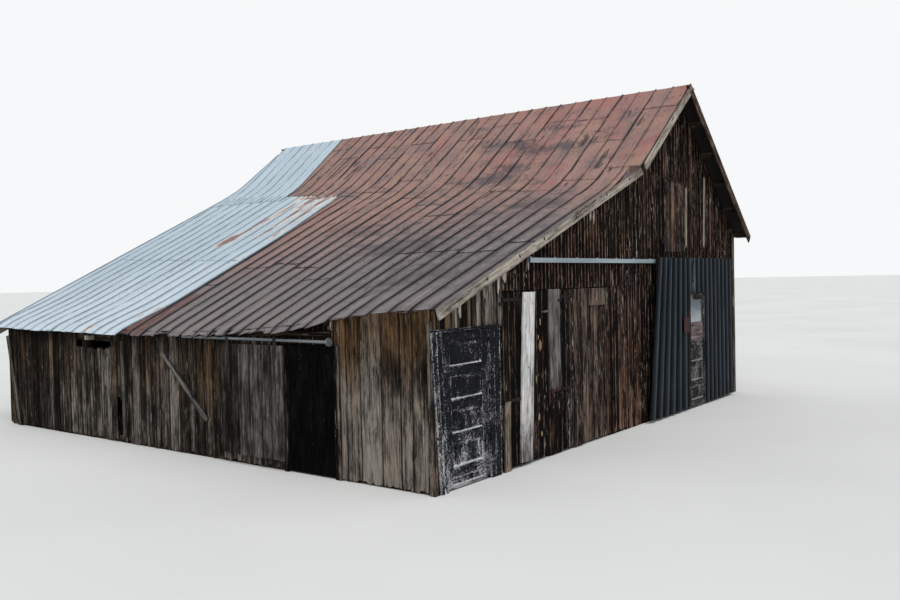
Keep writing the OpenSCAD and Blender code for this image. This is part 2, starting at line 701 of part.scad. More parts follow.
// Sliding door: crimped sheet on timber rails, hung from two trolleys
slide_x0 = main_x - slide_lap;
slide_x1 = main_x + main_w + slide_lap;
slide_foot = 40;
rail_t = 40;
rail_h = 120;
sheet_back = -106;
rail_y0 = sheet_back + hair;
rail_y1 = rail_y0 + rail_t;
wave = 195;
wave_d = 26;
slide_sheet_t = 4;
wicket_x1 = wicket_x + wicket_w;
waves = round((slide_x1 - slide_x0) / wave);
wave_step = (slide_x1 - slide_x0) / waves / 8;
function wave_rise(k) = wave_d * pow((1 - cos(45 * k)) / 2, 1.6);
module sliding_door_sheet() {
    ks = [0:waves * 8];
    color("#25282d") placed() difference() {
        translate([slide_x0, sheet_back, slide_foot]) linear_extrude(height = slide_top - slide_foot)
            polygon(concat([for (k = ks) [k * wave_step, -slide_sheet_t - wave_rise(k)]],
                [for (k = ks) [(waves * 8 - k) * wave_step, -wave_rise(waves * 8 - k)]]));
        block(wicket_x, sheet_back - wave_d - 20, 0, wicket_x1, sheet_back + 5, wicket_h);
    }
}

slide_stile_w = 100;
slide_stiles = [slide_x0, wicket_x - slide_stile_w, wicket_x1, slide_x1 - slide_stile_w];
module sliding_door_rails() {
    top = slide_top - 28;
    color("#5b4b3c") placed() {
        block(slide_x0, rail_y0, top - rail_h, slide_x1, rail_y1, top);
        for (x = slide_stiles) block(x, rail_y0, slide_foot, x + slide_stile_w, rail_y1, top - rail_h - hair);
        for (z = [slide_foot, slide_top / 2 - rail_h], r = [[slide_x0 + slide_stile_w, wicket_x - slide_stile_w],
            [wicket_x1 + slide_stile_w, slide_x1 - slide_stile_w]])
            block(r[0] + hair, rail_y0, z, r[1] - hair, rail_y1, z + rail_h);
        block(wicket_x + hair, rail_y0, wicket_h, wicket_x1 - hair, rail_y1, top - rail_h - hair);
    }
}
hanger_w = 60;
hanger_t = 6;
hanger_in = 450;
wheel_r = 21;
wheel_w = 28;
arm_z = track_z - 20;
arm_h = 90;
wheel_z = track_z + track_wall + wheel_r + hair;
// Trolleys that run in the track, and the pins of the small door on the stile beside it
module sliding_door_ironwork() {
    color("#6d6f70") placed() {
        for (x = [slide_x0 + hanger_in, slide_x1 - hanger_in]) union() {
            block(x, rail_y1, arm_z - arm_h, x + hanger_w, rail_y1 + hanger_t, arm_z);
            block(x, rail_y1, arm_z, x + hanger_w, track_mid + hanger_t / 2, arm_z + hanger_t);
            block(x, track_mid - hanger_t / 2, arm_z, x + hanger_w, track_mid + hanger_t / 2, wheel_z);
            translate([x + hanger_w / 2, track_mid, wheel_z]) rotate([90, 0, 0])
                cylinder(r = wheel_r, h = wheel_w, center = true, $fn = 48);
        }
        for (z = wicket_hinge_z) translate([wicket_axis_x, wicket_axis_y, 0])
            frame_pin(z, wicket_x1 + pin_plate - wicket_axis_x, rail_y1 - wicket_axis_y, knuckle_pin_r);
    }
}
pin_plate = 25;

// Panelled leaf in X and Z with a stile and rail frame and sunk panels
module panelled_leaf(x0, x1, z0, z1, y0, t, rails, stile, sink) {
    difference() {
        block(x0, y0, z0, x1, y0 + t, z1);
        for (r = rails) {
            block(x0 + stile, y0 - 1, r[0], x1 - stile, y0 + sink, r[1]);
            block(x0 + stile, y0 + t - sink, r[0], x1 - stile, y0 + t + 1, r[1]);
        }
    }
}

// Old house door with sunk panels beside the corner; its foot is cut short
corner_foot = 20;
corner_pitch = 368;
corner_panel = 252;
corner_top_rail = 125;
module corner_door() {
    top = corner_h - gap;
    panels = [for (k = [0:4]) let (b = top - corner_top_rail - k * corner_pitch)
        [max(b - corner_panel, corner_foot + 30), b]];
    color("#232226") placed() union() {
        panelled_leaf(corner_x + gap, corner_x + corner_w - gap, corner_foot, top,
            corner_door_y, panel_door_t, [for (p = panels) if (p[1] - p[0] > 40) p], 135, 10);
        for (z = corner_hinge_z) translate([corner_axis_x, corner_axis_y, 0]) door_eye(z);
    }
}
corner_door_y = 2;
corner_axis_x = corner_x + corner_w - knuckle_r - 1;
corner_axis_y = corner_door_y + panel_door_t + knuckle_r;
corner_hinge_z = [260, 1380];

// Plank door: upright boards with ledges across the back
leaf_foot = 20;
ledge_t = 25;
ledge_h = 110;
module plank_leaf(x0, x1, top) {
    union() {
        block(x0, 0, leaf_foot, x1, board_t, top);
        for (z = [240, top - 330]) block(x0 + 40, board_t - 0.5, z, x1 - 40, board_t + ledge_t, z + ledge_h);
    }
}
module plank_door_one() {
    color("#3d2f26") placed() plank_leaf(one_x + gap, one_x + one_w - gap, plank_h - gap);
}
module plank_door_two() {
    color("#45362b") placed() plank_leaf(two_x + gap, two_x + two_w - gap, plank_h - gap);
}

// Strap hinges: an eye on the leaf's strap turns on a fixed upright pin
pin_r = 7;
eye_r = 13;
eye_h = 50;
strap_t = 6;
axis_y = -(eye_r + 1);
strap_z = [810, 2020];
module strap(hx, z, length) {
    difference() {
        union() {
            translate([hx, axis_y, z]) cylinder(r = eye_r, h = eye_h, $fn = 40);
            block(hx, -strap_t, z + 5, hx + length, -0, z + eye_h - 5);
            block(hx, axis_y, z + 5, hx + eye_r + 6, -strap_t + 1, z + eye_h - 5);
        }
        translate([hx, axis_y, z - 1]) cylinder(r = pin_r + pin_gap, h = eye_h + 2, $fn = 40);
    }
}
one_strap_l = 420;
two_strap_l = 360;
module plank_one_straps() {
    color("#5c3a28") placed() for (z = strap_z) strap(one_x, z, one_strap_l);
}
module plank_two_straps() {
    color("#5c3a28") placed() for (z = strap_z) strap(two_x, z, two_strap_l);
}

// Fixed pins of the plank doors, each on a plate on the wall
module hinge_pin(hx, z) {
    union() {
        translate([hx, axis_y, z - 30]) cylinder(r = pin_r, h = eye_h + 36, $fn = 40);
        block(hx - 66, -strap_t, z - 34, hx - 8, 0, z - 4);
        block(hx - 60, axis_y - pin_r, z - 34, hx + pin_r, 0, z - 4);
    }
}
module hinge_pins() {
    color("#4a2f22") placed() {
        for (x = [one_x, two_x], z = strap_z) hinge_pin(x, z);
        for (z = corner_hinge_z) translate([corner_axis_x, corner_axis_y, 0])
            frame_pin(z, corner_x + corner_w - corner_axis_x, -knuckle_pin_r, knuckle_pin_r);
        for (z = side_hinge_z) translate([side_axis_x, side_axis_y, 0]) rotate(90)
            frame_pin(z, side_y + side_w - side_axis_y, -knuckle_pin_r, knuckle_pin_r);
    }
}

// Loose-pin hinges of the doors that swing inwards. The eye is screwed to
// the leaf's inner face, the pin is held by two lugs on the frame beside it.
module door_eye(z) {
    difference() {
        union() {
            translate([0, 0, z]) cylinder(r = knuckle_r, h = knuckle_h, $fn = 32);
            block(-leaf_plate, -knuckle_r - 0.5, z, 0, -knuckle_r + plate_t, z + knuckle_h);
        }
        translate([0, 0, z - 1]) cylinder(r = knuckle_pin_r + pin_gap, h = knuckle_h + 2, $fn = 32);
    }
}
module frame_pin(z, reach, y0, y1) {
    union() {
        translate([0, 0, z - lug_h]) cylinder(r = knuckle_pin_r, h = knuckle_h + 2 * lug_h, $fn = 32);
        for (a = [z - lug_h, z + knuckle_h + pin_gap])
            block(-knuckle_pin_r, y0, a, reach, y1, a + lug_h - pin_gap);
    }
}

// Small door in the sliding door: glass above, sunk panels below
wicket_t = 35;
wicket_y = rail_y0 + 2;
wicket_foot = 30;
glass_z = [1470, 1860];
module wicket_door() {
    x0 = wicket_x + gap;
    x1 = wicket_x1 - gap;
    color("#5a4c4a") placed() union() {
        difference() {
            panelled_leaf(x0, x1, wicket_foot, wicket_h - gap, wicket_y, wicket_t,
                [for (k = [0:2]) [150 + k * wicket_pitch, 150 + k * wicket_pitch + wicket_panel]],
                wicket_stile, 10);
            block(x0 + wicket_stile, wicket_y - 1, glass_z[0], x1 - wicket_stile,
                wicket_y + wicket_t + 1, glass_z[1]);
        }
        for (z = wicket_hinge_z) translate([wicket_axis_x, wicket_axis_y, 0]) door_eye(z);
    }
}
wicket_stile = 110;
wicket_pitch = 330;
wicket_panel = 230;
wicket_axis_x = wicket_x1 - knuckle_r - 1;
wicket_axis_y = wicket_y + wicket_t + knuckle_r;
wicket_hinge_z = [300, 1500];
module wicket_glass() {
    color("#9fb6bd") placed() block(wicket_x + gap + wicket_stile + hair, wicket_y + 14,
        glass_z[0] + hair, wicket_x1 - gap - wicket_stile - hair, wicket_y + 19, glass_z[1] - hair);
}

// Black board door in the left wall
module side_door() {
    color("#1b1a1b") placed() union() {
        block(4, side_y + gap, leaf_foot, 4 + board_t, side_y + side_w - gap, side_h - gap);
        for (z = [side_ledge_z, side_h - 3 * side_ledge_z / 2]) block(3 + board_t, side_y + 45, z,
            4 + board_t + trim_t, side_y + side_w - side_ledge_end, z + ledge_h);
        for (z = side_hinge_z) translate([side_axis_x, side_axis_y, 0]) mirror([1, -1, 0]) door_eye(z);
    }
}
side_ledge_end = post_w + 20;
side_ledge_z = 200;
side_axis_x = 4 + board_t + knuckle_r;
side_axis_y = side_y + side_w - knuckle_r - 1;
side_hinge_z = [330, 1080];

// Pipe track under the left eave, held by lugs, with a round end cap
pipe_r = 18;
pipe_x = -52;
pipe_z = 1606;
pipe_lug_w = 40;
pipe_y0 = side_y + 30;
pipe_y1 = side_y + side_w + side_slide_w + side_slide_run + 20;
module side_pipe_track() {
    color("#8d9296") placed() union() {
        translate([pipe_x, pipe_y0, pipe_z]) rotate([-90, 0, 0]) cylinder(r = pipe_r, h = pipe_y1 - pipe_y0, $fn = 40);
        translate([pipe_x, pipe_y0 - 12, pipe_z]) rotate([-90, 0, 0]) cylinder(r = 50, h = 14, $fn = 48);
        for (y = [pipe_y0, pipe_y1 - 11 * pipe_lug_w, pipe_y1 - pipe_lug_w])
            block(pipe_x, y, pipe_z - 6, 0, y + pipe_lug_w, pipe_z + 6);
    }
}

// Sliding plank door on the left wall and the two rings that carry it
side_slide_y = side_y + side_w + 20;
side_leaf_x = pipe_x - board_t / 2 + 6;
side_slide_top = side_h - 20;
side_slide_foot = 120;
module side_sliding_door() {
    color("#6a6258") placed() block(side_leaf_x, side_slide_y, side_slide_foot,
        side_leaf_x + board_t, side_slide_y + side_slide_w, side_slide_top);
}
ring_arm = 160;
ring_y = [side_slide_y + 110, side_slide_y + side_slide_w - 170];
module side_door_hangers() {
    color("#5d4a3e") placed() for (y = ring_y) difference() {
        union() {
            translate([pipe_x, y, pipe_z]) rotate([-90, 0, 0]) cylinder(r = pipe_r + 7, h = 50, $fn = 40);
            block(side_leaf_x - strap_t, y, side_slide_top - ring_arm, side_leaf_x, y + eye_h, pipe_z);
        }
        translate([pipe_x, y - 1, pipe_z]) rotate([-90, 0, 0]) cylinder(r = pipe_r + pin_gap, h = 52, $fn = 40);
    }
}

sill_beams();
wall_posts();
inner_posts();
wall_rails();
inner_plate();
wall_plates();
main_rafters();
shed_rafters();
main_laths();
shed_laths();
upper_sheets_rusty();
upper_sheets_silver();
lower_sheets_front();
lower_sheets_rusty();
lower_sheets_silver();
right_sheets();
main_rake_boards();
shed_rake_board();
back_rake_boards();
front_wall_over_corner_door();
front_wall_post_board();
front_wall_middle();
front_wall_ends();
front_gable();
loft_door();
left_wall_front();
left_wall_over_door();
left_wall_back();
right_wall();
back_wall();
corner_boards();
corner_door_casing();
side_door_casing();
door_track();
side_pipe_track();
hinge_pins();
corner_door();
plank_door_one();
plank_one_straps();
plank_door_two();
plank_two_straps();
sliding_door_sheet();
sliding_door_rails();
sliding_door_ironwork();
wicket_door();
wicket_glass();
side_door();
side_sliding_door();
side_door_hangers();
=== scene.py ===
"""Looks of the old board barn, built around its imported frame.

Lengths are in metres. The pieces are laid out from the front left corner of
the walls at the ground, with x along the gable front and y towards the back,
and shared() moves them into the frame. Colours are screen colours, 0 to 255.
"""
import math
import random

import bmesh
import bpy
from mathutils import Matrix, Vector, noise


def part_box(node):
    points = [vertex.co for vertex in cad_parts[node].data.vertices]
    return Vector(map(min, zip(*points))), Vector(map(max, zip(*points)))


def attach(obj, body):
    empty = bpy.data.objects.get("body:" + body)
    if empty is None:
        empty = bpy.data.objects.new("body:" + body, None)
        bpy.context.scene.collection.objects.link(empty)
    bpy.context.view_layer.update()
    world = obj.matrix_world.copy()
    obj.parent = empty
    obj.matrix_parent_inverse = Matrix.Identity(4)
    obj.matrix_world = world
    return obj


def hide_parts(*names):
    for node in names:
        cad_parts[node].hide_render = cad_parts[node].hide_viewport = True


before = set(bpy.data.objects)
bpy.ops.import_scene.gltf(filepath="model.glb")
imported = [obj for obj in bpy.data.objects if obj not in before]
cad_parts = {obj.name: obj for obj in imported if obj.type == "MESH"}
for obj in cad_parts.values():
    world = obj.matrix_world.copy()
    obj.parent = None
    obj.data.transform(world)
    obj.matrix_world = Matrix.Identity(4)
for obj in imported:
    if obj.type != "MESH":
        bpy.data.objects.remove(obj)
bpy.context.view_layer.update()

# The outer faces of the left and the front wall in the shared frame
WALL_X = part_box("left_wall_back")[0].x
WALL_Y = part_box("front_gable")[0].y

# Plan and roof of the part
BARN_W, BARN_L = 9.500, 9.200
RIDGE_X, RIDGE_Z = 6.655, 5.430
ROOF_TOP = 5.450
FALL_LEFT, FALL_RIGHT = 0.773, 0.813
MIN_X, MAX_X, MIN_Y, MAX_Y = -0.130, 9.660, -0.290, 9.470
SHED_FRONT = -0.080
BEND_X, BEND_TURN = 4.350, 0.800
BEND_UP, BEND_DOWN = 0.85, 1.10
SHEET_W = 0.610
# The height of the left eave over the number of sheets from the front
EAVE_LINE = [(0, 1.958), (1, 1.935), (2, 1.890), (3, 1.820), (4, 1.740), (6, 1.650), (9, 1.600), (16, 1.650)]
# How far the walls' tops and the rake boards stay under the roof's surface
WALL_UNDER, LEFT_UNDER, RIGHT_UNDER, RAKE_UNDER = 0.0345, 0.008, 0.034, 0.0075

X, Y, Z = Vector((1, 0, 0)), Vector((0, 1, 0)), Vector((0, 0, 1))
# Each side's direction along its boards, across them and outwards, and the corner it is measured from
FRONT = (Z, X, -Y, Vector())
BACK = (Z, X, Y, Y * BARN_L)
LEFT = (Z, Y, -X, Vector())
RIGHT = (Z, Y, X, X * BARN_W)
# The same for boards that lie across a door
ACROSS = (X, Z, -Y, Vector())

MID_RIM = (0.5, 0.5, 0.5)
BACK_GRAIN = 0.02
ROD_SIDES = 14
BOARD_DEEP = 0.004


def shared(p):
    """Moves a point from the corner of the walls into the frame."""
    return p[0] + WALL_X, p[1] + WALL_Y, p[2]


def mix(a, b, t):
    return a + (b - a) * t


def smooth(t):
    t = min(1.0, max(0.0, t))
    return t * t * (3 - 2 * t)


def near(a, b, size):
    """1 where a is b, fading to 0 over a few sizes."""
    return math.exp(-((a - b) / size) ** 2)


def value_at(f, v):
    return f(v) if callable(f) else f


def main_z(x):
    return RIDGE_Z - (RIDGE_X - x) * FALL_LEFT


def right_z(x):
    return RIDGE_Z - (x - RIDGE_X) * FALL_RIGHT


def kink_x(y):
    """Where the steep roof bends into the shed slope."""
    return BEND_X + BEND_TURN * (y - MIN_Y) / (MAX_Y - MIN_Y)


def eave_z(y):
    at = (y - MIN_Y) / SHEET_W
    for (a, p), (b, q) in zip(EAVE_LINE, EAVE_LINE[1:]):
        if at <= b:
            return mix(p, q, max(0.0, at - a) / (b - a))
    return EAVE_LINE[-1][1]


def straight(u, y):
    kx = kink_x(y)
    kz = main_z(kx)
    if u <= 1:
        return mix(RIDGE_X, kx, u), mix(RIDGE_Z, kz, u)
    return mix(kx, MIN_X, u - 1), mix(kz, eave_z(y), u - 1)


def bent(u, y):
    """A point on the left slope, u going 0 at the ridge, 1 at the bend, 2 at the eave."""
    s = (u - BEND_UP) / (BEND_DOWN - BEND_UP)
    if s <= 0 or s >= 1:
        return straight(u, y)
    a, k, b = straight(BEND_UP, y), straight(1.0, y), straight(BEND_DOWN, y)
    return tuple((1 - s) ** 2 * a[i] + 2 * s * (1 - s) * k[i] + s * s * b[i] for i in (0, 1))


def right_slope(u, y):
    x = mix(RIDGE_X, MAX_X, u)
    return x, right_z(x)


def shed_z(x, y):
    kx = kink_x(y)
    return mix(main_z(kx), eave_z(y), (kx - x) / (kx - MIN_X))


def roof_z(x, y):
    if x > RIDGE_X:
        return right_z(x)
    return main_z(x) if x > kink_x(y) else shed_z(x, y)


def front_top(x):
    return roof_z(x, 0.0) - WALL_UNDER


def left_top(y):
    return shed_z(0.0, y) - LEFT_UNDER


class Work:
    """A bench where the closed skins of one piece at a time are made, with its own random draws.

    Each point has a grain position, a tone and its distances from the board's edges.
    """

    def __init__(self, seed):
        self.rng = random.Random(seed)
        self.clear()

    def clear(self):
        self.points, self.faces, self.grain, self.tone, self.rim = [], [], [], [], []

    def point(self, place, grain, tone, rim=MID_RIM):
        self.points.append(shared(place))
        self.grain.append(grain)
        self.tone.append(tone)
        self.rim.append(rim)

    def skin(self, grid):
        """Closes a grid of spots into a solid.

        A spot has a front and a back point, a grain position, a tone and perhaps a rim.
        """
        base, rows, cols = len(self.points), len(grid), len(grid[0])
        for layer, deep in ((0, 0.0), (1, BACK_GRAIN)):
            for line in grid:
                for spot in line:
                    u, v, w = spot[2]
                    self.point(spot[layer], (u, v, w + deep), *spot[3:])

        def at(j, i, layer=0):
            return base + (layer * rows + j) * cols + i

        for j in range(rows - 1):
            for i in range(cols - 1):
                self.faces.append((at(j, i), at(j, i + 1), at(j + 1, i + 1), at(j + 1, i)))
                self.faces.append((at(j, i, 1), at(j + 1, i, 1), at(j + 1, i + 1, 1), at(j, i + 1, 1)))
        border = [(0, i) for i in range(cols)] + [(j, cols - 1) for j in range(1, rows)]
        border += [(rows - 1, i) for i in range(cols - 2, -1, -1)] + [(j, 0) for j in range(rows - 2, 0, -1)]
        for a, b in zip(border, border[1:] + border[:1]):
            self.faces.append((at(*b), at(*a), at(*a, 1), at(*b, 1)))

    def cuts(self, a, b, low, high):
        """Board edges between a and b, with random widths."""
        edges = [a]
        while b - edges[-1] > high + low:
            edges.append(edges[-1] + self.rng.uniform(low, high))
        rest = b - edges[-1]
        if rest > high:
            edges.append(edges[-1] + rest * self.rng.uniform(0.42, 0.58))
        return edges + [b]

    def plank(self, side, start, width, lo, hi, thick=0.020, tone=(0, 0, 0), cols=3, step=0.35, edge=0.003,
              warp=0.0015, proud=0.0, rag=(0.0, 0.0)):
        """A board from lo to hi along its side and width wide, from a point or a distance along the wall.

        lo and hi may follow the place across the board, tone the place along and across it.
        rag is how unevenly its two ends are broken.
        """
        rng = self.rng
        along, across, out, corner = side
        start = corner + across * start if isinstance(start, (int, float)) else Vector(start)
        length = value_at(hi, width / 2) - value_at(lo, width / 2)
        rows = max(2, int(math.ceil(length / step)) + 1)
        seed = [rng.uniform(0, 60) for _ in range(3)]
        ends = [(rng.uniform(0, rag[0]), rng.uniform(0, rag[1])) for _ in range(cols + 1)]
        grid = []
        for j in range(rows):
            shifts = [rng.uniform(-edge, edge), *[0.0] * (cols - 1), rng.uniform(-edge, edge)]
            line = []
            for i, (low_end, high_end) in enumerate(ends):
                v = width * i / cols
                a = value_at(lo, v) + low_end
                u = mix(a, value_at(hi, v) - high_end, j / (rows - 1))
                face = start + along * u + across * (v + shifts[i]) + out * (proud + rng.uniform(-warp, warp))
                line.append((face, face - out * thick, (u + seed[0], v + seed[1], seed[2]),
                             tone(u, v) if callable(tone) else tone, (v, width - v, u - a)))
            grid.append(line)
        self.skin(grid)

    def wall(self, side, edges, lo, hi, tone=None, gap=(0.002, 0.009), spread=0.7, **more):
        """Upright boards between the given edges. lo, hi and tone follow the place along the wall."""
        for a, b in zip(edges, edges[1:]):
            half = self.rng.uniform(*gap) / 2
            a, b = a + half, b - half
            light, brown = self.rng.gauss(0, spread), self.rng.uniform(0, 1) * 0.4

            def shade(u, v):
                lighter, browner, paler = tone(a + v, u) if tone else (0, 0, 0)
                return light + lighter, brown + browner, paler

            self.plank(side, a, b - a, lambda v: value_at(lo, a + v), lambda v: value_at(hi, a + v),
                       tone=shade, proud=-self.rng.uniform(0, BOARD_DEEP), **more)

    def bar(self, a, b, width, thick, out=-Y, **more):
        """A straight batten from a to b, centred on that line."""
        a, b = Vector(a), Vector(b)
        along = (b - a).normalized()
        across = along.cross(out).normalized()
        start = a - across * width / 2 + out * thick
        self.plank((along, across, out, None), start, width, 0.0, (b - a).length, thick=thick, cols=2, **more)

    def block(self, low, high, tone=(0, 0, 0)):
        (x0, y0, z0), (x1, y1, z1) = low, high
        self.skin([[((x, y0, z), (x, y1, z), (z, x, y0), tone) for x in (x0, x1)] for z in (z0, z1)])

    def rod(self, a, b, radius, tone=(0, 0, 0)):
        """A round bar between two points."""
        a, b = Vector(a), Vector(b)
        axis = (b - a).normalized()
        side = axis.orthogonal().normalized()
        first = len(self.points)
        second = first + ROD_SIDES
        for end in (a, b):
            for k in range(ROD_SIDES):
                p = end + Matrix.Rotation(2 * math.pi * k / ROD_SIDES, 3, axis) @ side * radius
                self.point(p, (p.z, p.x, p.y), tone)
        for k in range(ROD_SIDES):
            n = (k + 1) % ROD_SIDES
            self.faces.append((first + k, first + n, second + n, second + k))
        self.faces.append(tuple(reversed(range(first, second))))
        self.faces.append(tuple(range(second, second + ROD_SIDES)))

    def piece(self, name, material, slot, *nodes, body="barn"):
        """Makes an object of the skins, says what it rides on and stands for, and clears the bench."""
        mesh = bpy.data.meshes.new(name)
        mesh.from_pydata(self.points, [], self.faces)
        shell = bmesh.new()
        shell.from_mesh(mesh)
        bmesh.ops.recalc_face_normals(shell, faces=shell.faces)
        shell.to_mesh(mesh)
        shell.free()
        for label, values in (("grain", self.grain), ("tone", self.tone), ("rim", self.rim)):
            layer = mesh.attributes.new(label, "FLOAT_VECTOR", "POINT")
            layer.data.foreach_set("vector", [c for v in values for c in v])
        mesh.materials.append(material)
        obj = bpy.data.objects.new(name, mesh)
        bpy.context.scene.collection.objects.link(obj)
        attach(obj, body)
        if nodes:
            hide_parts(*nodes)
        self.clear()


def tint(colour):
    """A screen colour in the shader's linear values."""
    shares = [c / 255 for c in colour]
    return [c / 12.92 if c <= 0.04045 else ((c + 0.055) / 1.055) ** 2.4 for c in shares] + [1.0]


def dim(colour, share, more=0):
    return tuple(min(255, c * share + more) for c in colour)


class Value:
    """A node's output, to be used in sums, products and steps."""

    def __init__(self, tree, socket):
        self.tree = tree
        self.socket = socket

    def __add__(self, other):
        return self.tree.math("ADD", self, other)

    def __sub__(self, other):
        return self.tree.math("SUBTRACT", self, other)

    def __mul__(self, other):
        return self.tree.math("MULTIPLY", self, other)

    def __rsub__(self, other):
        return self.tree.math("SUBTRACT", other, self)

    def __abs__(self):
        return self.tree.math("ABSOLUTE", self, 0.0)

    def step(self, low, high, a=0.0, b=1.0):
        """Goes smoothly from a at low to b at high."""
        inputs = dict(enumerate((self, low, high, a, b)))
        return self.tree.node("MapRange", inputs, interpolation_type="SMOOTHSTEP")

    def output(self, name):
        """Another output of the same node."""
        return Value(self.tree, self.socket.node.outputs[name])


class Tree:
    """A node tree that grows a node at a time."""

    def __init__(self, tree):
        self.tree = tree

    def put(self, value, socket):
        if isinstance(value, Value):
            self.tree.links.new(value.socket, socket)
        else:
            socket.default_value = value

    def node(self, kind, inputs, out=0, **settings):
        """Adds a node, fills or links its inputs and gives one of its outputs."""
        node = self.tree.nodes.new("ShaderNode" + kind)
        for name, setting in settings.items():
            setattr(node, name, setting)
        for name, value in inputs.items():
            self.put(value, node.inputs[name])
        return Value(self, node.outputs[out])

    def math(self, kind, a, b):
        return self.node("Math", {0: a, 1: b}, operation=kind)


class Paint(Tree):
    """Small steps for building a material's nodes."""

    def __init__(self, name, roughness=0.9, metallic=0.0, sheen=0.1):
        self.material = bpy.data.materials.new(name)
        self.material.use_nodes = True
        super().__init__(self.material.node_tree)
        self.surface = self.tree.nodes["Principled BSDF"].inputs
        self.surface["Roughness"].default_value = roughness
        self.surface["Metallic"].default_value = metallic
        self.surface["Specular IOR Level"].default_value = sheen

    def mix(self, factor, a, b, kind="MIX"):
        a, b = (c if isinstance(c, Value) else tint(c) for c in (a, b))
        return self.node("Mix", {0: factor, 6: a, 7: b}, out=2, data_type="RGBA", blend_type=kind)

    def ramp(self, value, *stops):
        """Colours over a value. Each stop is a place and a colour."""
        colours = self.node("ValToRGB", {0: value})
        elements = colours.socket.node.color_ramp.elements
        while len(elements) < len(stops):
            elements.new(0.5)
        for element, (at, colour) in zip(elements, stops):
            element.position = at
            element.color = tint(colour)
        return colours

    def scaled(self, vector, factors):
        return self.node("VectorMath", {0: vector, 1: factors}, operation="MULTIPLY")

    def noise(self, vector, factors, detail=4, rough=0.6, bend=0.0):
        return self.node("TexNoise", {"Vector": self.scaled(vector, factors), "Scale": 1.0, "Detail": detail,
                                      "Roughness": rough, "Distortion": bend})

    def cells(self, vector, factors):
        return self.node("TexVoronoi", {"Vector": self.scaled(vector, factors), "Scale": 1.0}, out="Distance")

    def attribute(self, name):
        return self.node("Attribute", {}, out="Vector", attribute_name=name)

    def split(self, vector):
        x = self.node("SeparateXYZ", {0: vector})
        return [x, x.output(1), x.output(2)]

    def place(self):
        return self.node("TexCoord", {}, out="Object")

    def facing(self):
        return self.split(self.node("NewGeometry", {}, out="Normal"))

    def turned(self, axis):
        """The place in the frame with the grain's direction first."""
        xyz = self.split(self.place())
        order = {"x": (0, 1, 2), "y": (1, 0, 2), "z": (2, 0, 1)}[axis]
        return self.node("CombineXYZ", {k: xyz[c] for k, c in enumerate(order)})

    def bump(self, height, distance, strength=0.6):
        dented = self.node("Bump", {"Distance": distance, "Strength": strength, "Height": height})
        self.put(dented, self.surface["Normal"])

    def done(self, colour):
        self.put(colour, self.surface["Base Color"])
        return self.material


def timber(name, dark, mid, light, brown=(96, 66, 44), pale=(168, 160, 150), axis=None, cracks=0.8,
           streaks=24.0, reach=(0.40, 0.50, 0.61), flakes=0.0, edges=0.85, lit=0.0):
    """Weathered wood. Tone x is lighter or darker, y browner, z paler."""
    p = Paint(name, roughness=0.95, sheen=0.06)
    grain = p.turned(axis) if axis else p.attribute("grain")
    lighter, browner, paler = p.split(p.attribute("tone"))
    streak = p.noise(grain, (1.0, streaks, streaks), 5, 0.68, 0.6)
    fibre = p.noise(grain, (6.5, 100, 100), 6, 0.78, 0.25)
    patch = p.noise(grain, (2.2, 6.5, 6.5), 6, 0.68, 0.4)
    value = streak * 0.55 + fibre * 0.42 + patch * 0.48 + (lighter * 0.052 - 0.225)

    def shades(*colours):
        return p.ramp(value, *zip(reach, colours))

    colour = p.mix((browner + (streak - 0.5) * 1.6).step(0.25, 0.95), shades(dark, mid, light),
                   shades(dim(brown, 0.18), dim(brown, 0.62), dim(brown, 1.25)))
    colour = p.mix((paler + (fibre - 0.5) * 0.9).step(0.15, 0.75), colour,
                   shades(dim(pale, 0.35), dim(pale, 0.82), pale))
    if flakes:
        area = p.noise(grain, (0.9, 7, 7), 3, 0.6)
        chip = p.noise(grain, (5.0, 62, 62), 5, 0.7, 0.3) + (area - 0.5) * 0.60
        colour = p.mix(chip.step(0.65, 0.685) * flakes, colour, pale)
    split = p.noise(grain, (0.7, 130, 130), 2, 0.5).step(0.37, 0.30)
    if not axis:
        rim = p.split(p.attribute("rim"))
        ragged = (p.noise(grain, (2.2, 30, 30), 4, 0.65) - 0.5) * 0.050
        # Board edges darken nearly to black: painted shade of the gaps between the boards
        edge = (p.math("MINIMUM", rim[0], rim[1]) + ragged).step(0.014, 0.002) * edges
        # A painted highlight along one edge of some boards
        if lit:
            glint = (rim[0] + ragged).step(0.026, 0.014) * fibre.step(0.46, 0.58) * patch.step(0.38, 0.52)
            colour = p.mix(glint * lit, colour, dim(light, 1.28))
        split = p.math("MAXIMUM", split, edge)
    # Cracks and the painted shade at board edges go nearly black
    colour = p.mix(split * cracks, colour, (5, 4, 4))
    distance = p.cells(grain, (1.9, 9.0, 9.0))
    knot = distance.step(0.17, 0.07) * p.split(distance.output("Color"))[0].step(0.55, 0.60)
    colour = p.mix(knot * 0.7, colour, (18, 12, 9))
    p.bump(fibre * 0.6 + split * -0.5, 0.006, 0.75)
    return p.done(colour)


